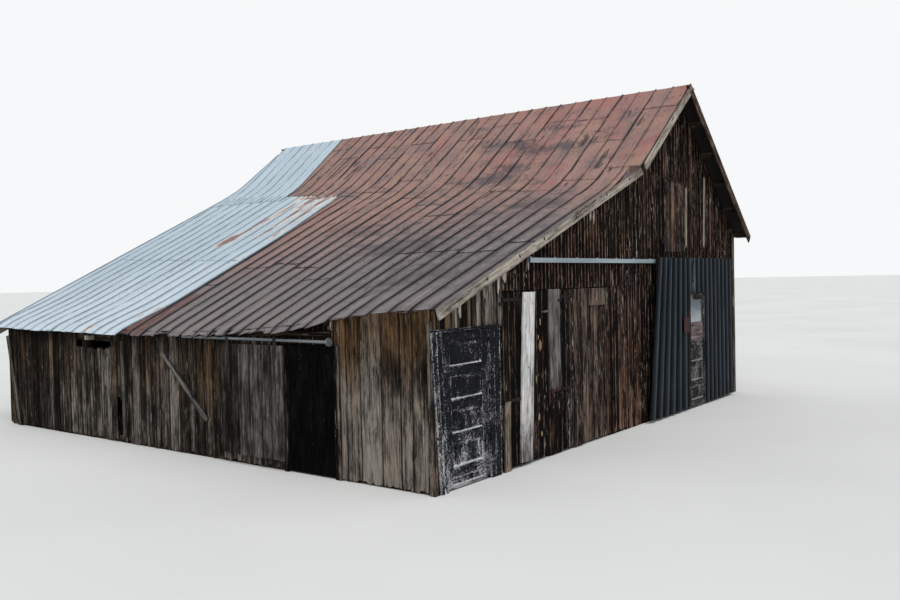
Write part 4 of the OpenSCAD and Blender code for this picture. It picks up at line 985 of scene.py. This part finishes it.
def loft_door():
    work = Work(41)
    x0, x1, z0, z1 = 6.153, 7.037, 2.683, 3.867
    edges = work.cuts(x0, x1, 0.12, 0.19)
    for a, b in zip(edges, edges[1:]):
        tone = (work.rng.gauss(1.1, 0.7), 0.0, 0.20)
        work.plank(FRONT, a + 0.002, b - a - 0.005, z0, z1, proud=0.008, tone=tone)
    for z in (2.83, 3.69):
        work.bar((x0 + 0.03, 0.041, z), (x1 - 0.03, 0.041, z), 0.10, 0.024)
    work.piece("loft_door_boards", WALL_DARK, "dark_board", "loft_door")
    irons = [(6.24, 3.885, 7.04, 3.835, 0.030, 0.014), (7.02, 3.86, 7.02, 3.78, 0.050, 0.018)]
    for x, z in ((6.20, 3.70), (6.11, 2.82)):
        irons.append((x - 0.10, z + 0.03, x + 0.13, z - 0.04, 0.05, 0.016))
        irons.append((x - 0.03, z + 0.10, x + 0.03, z - 0.08, 0.10, 0.024))
    for xa, za, xb, zb, width, thick in irons:
        work.bar((xa, -0.008, za), (xb, -0.008, zb), width, thick, tone=(-2, 0, 0))
    work.piece("loft_door_iron", IRON, "rusty_iron")


def left_walls():
    work = Work(51)

    # Painted shade under the eave, growing towards the top of the wall
    def painted_eave_shade(y, z):
        return smooth((z - left_top(y) + 0.42) / 0.36)

    def front_tone(y, z):
        high = smooth((z - 0.9) / 0.9)
        dark = 0.9 * near(y, 0.12, 0.12) * near(z, 1.28, 0.16)
        dark += 0.8 * near(y, 0.62, 0.25) * near(z, 1.2, 0.22)
        return 1.3 - 0.7 * high - 3.8 * dark - 0.6 * painted_eave_shade(y, z), 0.62 * high, 0.22 * (1 - high)

    work.wall(LEFT, [0.027, 0.30, 0.47, 0.75, 1.06, 1.28, 1.468], 0.0, left_top, front_tone, spread=0.3,
              gap=(0.006, 0.018), rag=(0.04, 0.0), cols=6)
    work.piece("left_boards_front", WALL_SIDE, "brown_board", "left_wall_front")
    work.wall(LEFT, [1.472, 1.80, 2.02, 2.257], 1.562, left_top, lambda y, z: (-0.8, 0.4, 0))
    work.piece("left_boards_over_door", WALL_DARK, "dark_board", "left_wall_over_door")

    # Behind the doors, with an opening under the eave and one at the foot
    opening, low_opening = (6.10, 7.05), 5.798

    def top(y):
        return min(left_top(y), 1.40) if opening[0] < y < opening[1] else left_top(y)

    def back_tone(y, z):
        grey = smooth((3.5 - y) / 0.3) + smooth((y - 6.0) / 0.1) * smooth((7.0 - y) / 0.2)
        return (0.1 - 1.4 * smooth((y - 7.0) / 0.6) + 0.3 * grey - 1.6 * painted_eave_shade(y, z),
                0.42 * (1 - grey) * smooth((z - 0.3) / 0.9), 0.0)

    edges = [*work.cuts(2.262, low_opening, 0.13, 0.24), 5.962, *work.cuts(*opening, 0.12, 0.2),
             *work.cuts(opening[1], 8.80, 0.13, 0.24)[1:]]
    for a, b in zip(edges, edges[1:]):
        work.wall(LEFT, [a, b], 0.62 if a == low_opening else 0.0, top, back_tone, spread=0.6,
                  rag=(0.06, 0.05 if b > opening[0] else 0), gap=(0.004, 0.016))
    # The last boards lean with the corner
    for k in range(3):
        a = 8.80 + k * 0.125
        work.plank(LEFT, a, 0.115, lambda v: max(0.0, (k - 1) * 0.55 + v * 4.5), left_top(a),
                   tone=(-1.6, 0.2, 0))
    work.bar((-0.006, 8.84, 0.02), (-0.006, 9.165, 1.50), 0.10, 0.024, -X, tone=(0.4, 0.1, 0.0))
    work.piece("left_boards_back", WALL_SIDE, "old_timber", "left_wall_back")

    # A stick nailed aslant, a light trim board and a brown board under the eave, darkened as painted shade of
    # the eave
    work.bar((-0.001, 4.79, 1.36), (-0.001, 3.83, 0.50), 0.070, 0.022, -X, tone=(0.6, 0.0, 0.25))
    work.bar((-0.001, 5.75, 0.10), (-0.001, 5.77, 1.50), 0.085, 0.020, -X, tone=(0.5, 0.1, 0.15))
    work.piece("left_wall_stick", WOOD_GREY, "grey_board")
    work.bar((-0.001, 1.50, 1.700), (-0.001, 4.15, 1.640), 0.065, 0.018, -X, tone=(-1.6, 0.6, 0))
    work.block((-0.075, 6.56, 1.500), (0.020, 6.67, 1.565), tone=(1.6, 0.0, 0.6))
    work.piece("eave_board", WALL_SIDE, "brown_board")


def far_walls():
    work = Work(61)
    work.wall(RIGHT, work.cuts(0.027, BARN_L - 0.027, 0.14, 0.27), 0.0, right_z(BARN_W) - RIGHT_UNDER,
              lambda y, z: (0.2, 0.25 * smooth((z - 1.5) / 1.2), 0.0), rag=(0.05, 0.0))
    work.piece("right_boards", WALL_REST, "old_timber", "right_wall")
    work.wall(BACK, work.cuts(0.002, BARN_W - 0.002, 0.14, 0.27), 0.0,
              lambda x: roof_z(x, BARN_L) - WALL_UNDER,
              lambda x, z: (0.1, 0.20 * smooth((z - 1.8) / 1.5), 0.0), rag=(0.05, 0.0))
    work.piece("back_boards", WALL_REST, "old_timber", "back_wall")


def corners():
    work = Work(71)
    for side, start, width, top, tone, step in ((LEFT, 0.001, 0.075, 1.86, (0.3, 0.35, 0.0), 0.2),
                                                (FRONT, 9.385, 0.114, 3.070, (0.2, 0.3, 0.10), 0.3),
                                                (RIGHT, 0.001, 0.115, 3.055, (-0.2, 0.2, 0), 0.3)):
        work.plank(side, start, width, 0.0, top, thick=0.018, proud=0.018, tone=tone, step=step)
    work.piece("corner_trim", WALL_SIDE, "old_timber", "corner_boards")


def painted(work, start, width, lo, hi, wear, thick=0.019, proud=0.018, **more):
    """A painted upright board. wear follows the place along and across it."""
    work.plank(FRONT, start, width, lo, hi, thick=thick, proud=proud, tone=lambda u, v: (0, 0, wear(u, v)),
               step=0.12, cols=4, edge=0.0015, warp=0.0008, **more)


def rail(work, x0, x1, z0, z1, y, thick, wear, cols=3, warp=0.0006):
    """A board across a door between its stiles."""
    work.plank(ACROSS, (x0 + 0.0005, 0, z0), z1 - z0, 0.0, x1 - x0 - 0.001, thick=thick, proud=-y, cols=cols,
               step=0.1, edge=0.0005, warp=warp, tone=(0, 0, wear))


def panel(work, x0, x1, z0, z1, y, wear, edge):
    """A sunk panel: sloping moulding round it, and a flat field raised in the middle."""
    sink, field = 0.012, 0.006
    scale = min(1.0, (z1 - z0) / 0.16)
    steps = [(a * scale, d) for a, d in
             ((0.0, 0.0), (0.010, 0.0035), (0.020, sink), (0.045, sink), (0.062, sink - field))]
    xs = [x0 + a for a, _ in steps] + [x1 - a for a, _ in reversed(steps)]
    zs = [z0 + a for a, _ in steps] + [z1 - a for a, _ in reversed(steps)]
    deep = [d for _, d in steps] + [d for _, d in reversed(steps)]
    last = len(deep) - 1
    seed = [work.rng.uniform(0, 60) for _ in range(3)]
    grid = []
    for j, z in enumerate(zs):
        line = []
        for i, x in enumerate(xs):
            ring = min(i, j, last - i, last - j)
            d = min(deep[i], deep[j]) if ring < 3 else max(min(deep[i], deep[j]), sink - field)
            chipped = wear + (edge if ring in (1, 2) else edge / 3 if ring == 4 else 0)
            # The lower moulding gets heavy wear, a pale line that is also a painted highlight on its upturned
            # face
            if j == 1 and 0 < i < last:
                chipped += 1.5
            grain = (z + seed[0], x + seed[1], seed[2])
            line.append(((x, y + d, z), (x, y + 0.030, z), grain, (0, 0, chipped)))
        grid.append(line)
    work.skin(grid)


def eyes(work, name, body, pin, low, high, heights):
    """Hinge eyes round a pin, each with its plate from low to high. Places are x and y."""
    for z in heights:
        work.rod((*pin, z), (*pin, z + 0.070), 0.0069)
        work.block((*low, z + 0.001), (*high, z + 0.069))
    work.piece(name, IRON, "rusty_iron", body=body)


# The corner door's leaf, and how far leaf and casing lean at the foot and at the head
CORNER_X0, CORNER_X1 = 0.137, 1.023
CORNER_TOP, CASING_TOP = 1.733, 1.739
LEAN_FOOT, LEAN_HEAD = 0.070, -0.050


def corner_lean(work):
    """The casing leans out over the corner at the head, and leaf and casing lean in at the foot."""
    for k, (x, y, z) in enumerate(work.points):
        t = z / 1.74
        foot = LEAN_FOOT * (1 - t) * min(1.0, max(0.0, (CORNER_X1 - x + WALL_X) / (CORNER_X1 - CORNER_X0)))
        head = LEAN_HEAD * t * min(1.0, max(0.0, (0.130 - x + WALL_X) / 0.128))
        work.points[k] = (x + foot + head, y, z)


def corner_door():
    work = Work(81)
    foot, y, stile = 0.021, 0.003, 0.135
    left, right = CORNER_X0 + stile, CORNER_X1 - stile
    for x in (CORNER_X0, right):
        painted(work, x, stile, foot, CORNER_TOP, lambda u, v: 0.4 * smooth((0.9 - u) / 0.9) + 0.30,
                thick=0.0338, proud=-y, rag=(0.008, 0))
    upper = CORNER_TOP
    for k in range(5):
        high = CORNER_TOP - 0.125 - 0.368 * k
        low = max(high - 0.252, foot + 0.030)
        rail(work, left, right, high, upper, y, 0.032, 0.10 + 0.45 * smooth((0.9 - high) / 0.9))
        panel(work, left, right, low, high, y + 0.001, 0.5 * smooth((1.2 - low) / 1.1), 0.40)
        upper = low
    rail(work, left, right, foot, upper, y, 0.032, 0.8, cols=2, warp=0.0015)
    corner_lean(work)
    work.piece("corner_door_leaf", BLACK_PAINT, "black_paint", "corner_door", body="corner_door")
    eyes(work, "corner_door_eyes", "corner_door", (1.022, 0.044), (0.962, 0.0366), (1.021, 0.0398),
         (0.260, 1.380))

    for start, width, wear in ((0.0015, 0.060, lambda u, v: 0.35 + 0.35 * (1 - u / 1.7)),
                               (0.0640, 0.064, lambda u, v: 0.20 + 0.45 * smooth((1.4 - u) / 1.3)),
                               (1.031, 0.090, lambda u, v: 0.05),
                               (1.1235, 0.118, lambda u, v: 0.10 + 0.5 * smooth((v - 0.08) / 0.04))):
        painted(work, start, width, 0.0, CASING_TOP, wear)
    work.plank(ACROSS, (0.001, 0, CASING_TOP + 0.0015), 0.029, 0.0, 1.242, thick=0.020, proud=0.019, step=0.1,
               cols=2, edge=0.002, tone=(0, 0, 0.15))
    corner_lean(work)
    work.piece("corner_casing", BLACK_PAINT, "black_paint", "corner_door_casing")


def leaf(work, edges, tones):
    """The boards of a plank door and the two ledges behind them."""
    for a, b, tone in zip(edges, edges[1:], tones):
        work.plank(FRONT, a + 0.0015, b - a - work.rng.uniform(0.004, 0.008), 0.022, 2.142, thick=0.022,
                   tone=tone, proud=-work.rng.uniform(0.0005, 0.004), rag=(0.03, 0.002), step=0.2, cols=4)
    for z in (0.295, 1.87):
        work.bar((edges[0] + 0.045, 0.0495, z), (edges[-1] - 0.045, 0.0495, z), 0.105, 0.0235)


def plank_door_one():
    work = Work(91)
    leaf(work, [1.328, 1.455, 1.585, 1.80, 1.985, 2.09, 2.235, 2.382],
         [(-1.0, 0.5, 0), (-2.2, 0.5, 0), (-1.5, 0.2, 0), (-1.6, 0.4, 0), (-1.0, 0.8, 0), (-2.2, 0.5, 0),
          (-2.8, 0.2, 0)])
    work.piece("door_one_boards", WOOD_DOOR, "dark_board", "plank_door_one", body="plank_door_one")
    # The bleached board nailed over the first door, leaning a little
    along = Vector((0.125 / 2.1, 0, 1)).normalized()
    work.plank((along, X, -Y, None), (1.652, -0.0005, 0.03), 0.270, 0.0, 2.105, thick=0.022, proud=0.022,
               cols=6, step=0.12, edge=0.004, warp=0.002, rag=(0.03, 0.008),
               tone=lambda u, v: (-1.4 + 1.6 * smooth((u + 0.1) / 0.9) + 0.4 * smooth((u - 1.2) / 0.6),
                                  0.30 * smooth((0.9 - u) / 0.7), 0.02 + 0.55 * smooth((u - 0.5) / 1.0)))
    work.piece("white_board_on_door", WOOD_WHITE, "grey_board", body="plank_door_one")
    for x, z in ((1.80, 2.02), (1.97, 1.98), (1.71, 0.42), (1.90, 0.36), (1.86, 1.20)):
        work.rod((x, -0.020, z), (x, -0.0265, z), 0.007)
    work.piece("white_board_nails", IRON, "rusty_iron", body="plank_door_one")
    knots = [(2.140, 1.370, 0.060, 0.16), (2.125, 1.520, 0.022, 0.07), (2.175, 1.700, 0.020, 0.09),
             (2.110, 0.500, 0.040, 0.10), (2.165, 0.290, 0.038, 0.08), (2.205, 1.030, 0.016, 0.07),
             (2.060, 0.980, 0.015, 0.10)]
    for x, z, w, high in knots:
        tip = work.rng.uniform(0.3, 0.7) * w
        work.plank(FRONT, x, w, lambda v: z + abs(v - tip) * 1.5, lambda v: z + high - abs(v - tip) * 2.0,
                   thick=0.005, proud=0.0055, cols=4, step=0.05, edge=0.003, tone=(0.3, 0.2, 0.25))
    work.piece("torn_knots", WOOD_TORN, "brown_board", body="plank_door_one")
    work.bar((2.215, -0.001, 1.868), (2.378, -0.001, 1.872), 0.034, 0.008, tone=(0.5, 0, 0.3))
    work.piece("light_latch", WOOD_GREY, "grey_board", body="plank_door_one")
    return work


def plank_door_two(work):
    """The second door, whose random draws go on from those of the first."""

    def low_light(light, brown, pale):
        return lambda u, v: (light + 0.7 + 1.4 * smooth((0.75 - u) / 0.7), brown + 0.1, pale + 0.03)

    # The first board is near black: painted shade of the gap beside the grey board
    tones = [(-4.5, 0.2, 0), (-2.0, 0.2, 0), (-0.6, 0.2, 0.02), (0.3, 0.15, 0.05), (-0.5, 0.2, 0),
             (0.6, 0.1, 0.06), (-0.2, 0.3, 0), (0.6, 0.2, 0.05), (-0.4, 0.3, 0), (-1.0, 0.3, 0),
             (-0.2, 0.5, 0.0)]
    leaf(work, [2.708, 2.83, 2.95, 3.065, 3.185, 3.31, 3.47, 3.635, 3.745, 3.86, 3.97, 4.082],
         [low_light(*tone) for tone in tones])
    # A patch high up on the right, and a repair low on the left with a slanting end
    work.plank(FRONT, 3.49, 0.475, 1.895, 2.138, thick=0.014, proud=0.0145, cols=5, step=0.08,
               tone=(1.4, 0.3, 0.10), rag=(0.012, 0.0))
    work.plank(FRONT, 3.035, 0.25, 0.025, lambda v: 0.53 - v * 0.72, thick=0.012, proud=0.0135, cols=4,
               step=0.1, tone=(1.0, 0.2, 0.05))
    work.piece("door_two_boards", WOOD_DOOR, "dark_board", "plank_door_two", body="plank_door_two")


# The crimps of the sliding door, and the small door's opening in it
WAVE, WAVE_DEEP = 0.195, 0.0255
SHEET_FACE = -0.1105
WICKET_X0, WICKET_X1, WICKET_TOP = 6.880, 7.640, 1.975
LEAN_LEFT, LEAN_RIGHT = -0.40, 0.03


def corrugated():
    """The sliding door's sheets. Those left of the small door lean out at the foot."""
    work = Work(121)
    low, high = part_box("sliding_door_sheet")
    x0, x1, foot, top = low.x - WALL_X, high.x - WALL_X, low.z, high.z
    pitch = (x1 - x0) / round((x1 - x0) / WAVE)
    fine = pitch / 16

    def lean(x, z):
        right = LEAN_RIGHT * max(0.0, x - WICKET_X1) / (x1 - WICKET_X1)
        left = LEAN_LEFT * max(0.0, WICKET_X0 - x) / (WICKET_X0 - x0)
        return (1 - (z - foot) / (top - foot)) * (right + left)

    for a, b, z0 in ((x0, WICKET_X0, foot), (WICKET_X0, WICKET_X1, WICKET_TOP), (WICKET_X1, x1, foot)):
        first, last = math.ceil((a - x0) / fine + 0.01), math.floor((b - x0) / fine - 0.01)
        xs = [a] + [x0 + k * fine for k in range(first, last + 1)] + [b]
        rows = max(3, round((top - z0) / 0.12))
        ends = [(work.rng.uniform(0, 0.012), work.rng.uniform(0, 0.018)) for _ in xs]
        grid = []
        for j in range(rows + 1):
            line = []
            for x, (low_end, high_end) in zip(xs, ends):
                z = mix(z0 + low_end, top - high_end, j / rows)
                turn = 2 * math.pi * (x - x0) / pitch
                crest = ((1 - math.cos(turn)) / 2) ** 2.6
                y = SHEET_FACE - WAVE_DEEP * crest + abs(noise.noise((x * 1.6, z * 1.1, 3.3))) * 0.006
                scratched = near(x, 7.12, 0.16) * smooth((z - 1.9) / 0.2)
                scratched += 0.5 * near(x, x0 + 0.2, 0.25) * smooth((z - 2.1) / 0.2)
                leant = x + lean(x, z)
                # Tone x is the crest, more on one flank, for painted highlight and shade on the waves
                line.append(((leant, y, z), (leant, y + 0.003, z), (z, x, 0.0),
                             (crest + 0.25 * math.sin(turn), 0.0, scratched)))
            grid.append(line)
        work.skin(grid)
    work.piece("crimped_door_sheets", BLACK_METAL, "black_door_metal", "sliding_door_sheet",
               body="sliding_door")


def wicket():
    work = Work(101)
    x0, x1, y = 6.887, 7.633, -0.1025
    stile, foot, top, thick = 0.108, 0.032, 1.966, 0.033
    left, right = x0 + stile, x1 - stile
    for x, wear in ((x0, lambda u, v: 0.25 + 0.5 * smooth((1.2 - u) / 1.1)),
                    (right, lambda u, v: 0.3 + 0.5 * near(u, 1.5, 0.5) + 0.4 * smooth((1.0 - u) / 0.9))):
        painted(work, x, stile, foot, top, wear, thick=thick, proud=-y)
    rail(work, left, right, 1.862, top, y, thick, 0.7)
    low = foot
    for k in range(3):
        a = 0.150 + k * 0.330
        rail(work, left, right, low, a, y, thick, 0.7)
        panel(work, left, right, a, a + 0.230, y + 0.001, 0.70, 0.30)
        low = a + 0.230
    rail(work, left, right, low, 1.168, y, thick, 0.5)
    work.piece("wicket_leaf", WICKET_PAINT, "peeling_paint", "wicket_door", body="wicket")
    eyes(work, "wicket_eyes", "wicket", (7.632, -0.0617), (7.572, -0.0690), (7.631, -0.0658), (0.300, 1.500))

    work.plank(ACROSS, (left + 0.0005, 0, 1.170), 0.298, 0.0, right - left - 0.001, thick=thick, proud=-y,
               cols=4, step=0.08, tone=(0.4, 0.2, 0.1))
    # Glazing bead round the pane
    for xa, za, xb, zb in ((x0 + 0.118, 1.472, x1 - 0.118, 1.472), (x0 + 0.118, 1.856, x1 - 0.118, 1.856),
                           (x0 + 0.114, 1.47, x0 + 0.114, 1.858), (x1 - 0.114, 1.47, x1 - 0.114, 1.858)):
        work.bar((xa, y + 0.012, za), (xb, y + 0.012, zb), 0.012, 0.010, tone=(0.5, 0, 0.4), edge=0.0005,
                 warp=0.0003)
    work.piece("wicket_lock_rail", LOCK_PAINT, "peeling_paint", body="wicket")

    work.plank(FRONT, 6.600, 0.272, 1.31, 1.60, thick=0.003, proud=0.1405, cols=5, step=0.06, edge=0.003,
               rag=(0.02, 0.02))
    for x, z in ((6.63, 1.34), (6.84, 1.34), (6.63, 1.57), (6.84, 1.57)):
        work.rod((x, -0.139, z), (x, -0.145, z), 0.007)
    work.piece("plate_beside_wicket", IRON_RED, "rusty_iron", body="sliding_door")


def side_doors():
    work = Work(111)
    edges = [1.477, 1.66, 1.85, 2.05, 2.253]
    for a, b in zip(edges, edges[1:]):
        work.plank(LEFT, (0.005, a + 0.001, 0), b - a - 0.004, 0.021, 1.553, thick=0.0235, step=0.2,
                   warp=0.0008)
    for z in (0.201, 1.261):
        work.block((0.028, 1.516, z), (0.0535, 2.138, z + 0.108))
    work.piece("side_door_boards", DOOR_BLACK, "black_paint", "side_door", body="side_door")
    eyes(work, "side_door_eyes", "side_door", (0.036, 2.252), (0.0286, 2.192), (0.0318, 2.251),
         (0.330, 1.080))
    for start, width, proud, tone in ((1.372, 0.050, 0.018, (0.6, 0.3, 0.1)),
                                      (1.426, 0.042, 0.016, (-2.2, 0.0, 0.0)),
                                      (2.262, 0.076, 0.018, (-1.5, 0.1, 0.0))):
        work.plank(LEFT, start, width, 0.0, 1.558, thick=0.018, proud=proud, tone=tone, step=0.2)
    work.piece("side_door_trim", WALL_SIDE, "dark_board", "side_door_casing")
    edges = [2.282, 2.50, 2.68, 2.90, 3.12, 3.28, 3.458]
    for k, (a, b) in enumerate(zip(edges, edges[1:])):
        work.plank(LEFT, (-0.0575, a + 0.002, 0), b - a - 0.006, 0.122, 1.538, thick=0.022, cols=4, step=0.2,
                   tone=(0.0, 0.0, 0.0) if k < 4 else (-1.2, 0.5, 0.0), rag=(0.02, 0.0))
    work.piece("side_sliding_planks", WOOD_GREY, "grey_board", "side_sliding_door", body="side_sliding_door")


# The nodes that show as they are
KEPT = {
    FRAME_X: ("sill_beams", "wall_rails", "main_rafters", "shed_rafters"),
    FRAME_Y: ("inner_plate", "wall_plates", "main_laths", "shed_laths"),
    FRAME_Z: ("wall_posts", "inner_posts", "sliding_door_rails"),
    GALVANISED: ("door_track",),
    PIPE: ("side_pipe_track",),
    HANGER: ("side_door_hangers",),
    IRON: ("hinge_pins", "plank_one_straps", "plank_two_straps", "sliding_door_ironwork"),
    GLASS: ("wicket_glass",),
}


def kept_nodes():
    for material, names in KEPT.items():
        for name in names:
            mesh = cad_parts[name].data
            mesh.materials.clear()
            mesh.materials.append(material)


# The photograph's view: lens, place and turn were worked out from the barn's corners
CAMERA_PLACE = (-7.066, -5.546, 2.309)
CAMERA_TURN = (53.0647, -1.4219, -1.1904)
LENS_PIXELS, PHOTO_PIXELS, SENSOR = 852.179, 900, 36.0


def photo_camera():
    yaw, pitch, roll = (math.radians(a) for a in CAMERA_TURN)
    ahead = Vector((math.sin(yaw) * math.cos(pitch), math.cos(yaw) * math.cos(pitch), math.sin(pitch)))
    side = Vector((math.cos(yaw), -math.sin(yaw), 0))
    up = side.cross(ahead)
    level = math.cos(roll) * side + math.sin(roll) * up
    tall = -math.sin(roll) * side + math.cos(roll) * up
    data = bpy.data.cameras.new("photo_camera")
    data.sensor_fit = "HORIZONTAL"
    data.sensor_width = SENSOR
    data.lens = LENS_PIXELS / PHOTO_PIXELS * SENSOR
    camera = bpy.data.objects.new("photo_camera", data)
    bpy.context.scene.collection.objects.link(camera)
    camera.matrix_world = Matrix((level, tall, -ahead)).transposed().to_4x4()
    camera.location = shared(CAMERA_PLACE)
    bpy.context.scene.camera = camera


def pale_sky():
    """A sky that lights the barn softly and looks brighter than it shines."""
    world = bpy.data.worlds.new("pale_sky")
    bpy.context.scene.world = world
    world.use_nodes = True
    sky = Tree(world.node_tree)
    path = sky.node("LightPath", {})
    mirrored = sky.math("MAXIMUM", path.output("Is Glossy Ray"), path.output("Is Transmission Ray"))
    seen = sky.math("MAXIMUM", path.output("Is Camera Ray"), mirrored)
    light = sky.node("Background", {"Color": (0.95, 0.98, 1.0, 1), "Strength": 0.62})
    shown = sky.node("Background", {"Color": (0.93, 0.94, 0.95, 1), "Strength": 1.0})
    both = sky.node("MixShader", {0: seen, 1: light, 2: shown})
    sky.put(both, world.node_tree.nodes["World Output"].inputs["Surface"])


def stage():
    lamp = bpy.data.lights.new("soft_sun", "SUN")
    lamp.energy = 1.5
    lamp.angle = math.radians(50)
    sun = bpy.data.objects.new("soft_sun", lamp)
    bpy.context.scene.collection.objects.link(sun)
    sun.rotation_euler = Vector((0.42, 0.55, -1.0)).to_track_quat("-Z", "Y").to_euler()

    size, low = 400.0, -0.001
    mesh = bpy.data.meshes.new("floor")
    mesh.from_pydata([(-size, -size, low), (size, -size, low), (size, size, low), (-size, size, low)], [],
                     [(0, 1, 2, 3)])
    p = Paint("pale_floor", roughness=0.95)
    cloud = p.noise(p.place(), (0.2, 0.2, 0.2), 3, 0.5)
    mesh.materials.append(p.done(p.ramp(cloud, (0.3, (222, 222, 220)), (0.7, (230, 230, 228)))))
    floor = bpy.data.objects.new("floor", mesh)
    bpy.context.scene.collection.objects.link(floor)


photo_camera()
rusty_left()
silver_left()
right_side()
rakes()
front_walls()
loft_door()
left_walls()
far_walls()
corners()
corner_door()
plank_door_two(plank_door_one())
corrugated()
wicket()
side_doors()
kept_nodes()
pale_sky()
stage()
bpy.context.scene.view_settings.view_transform = "Standard"

bpy.context.view_layer.update()
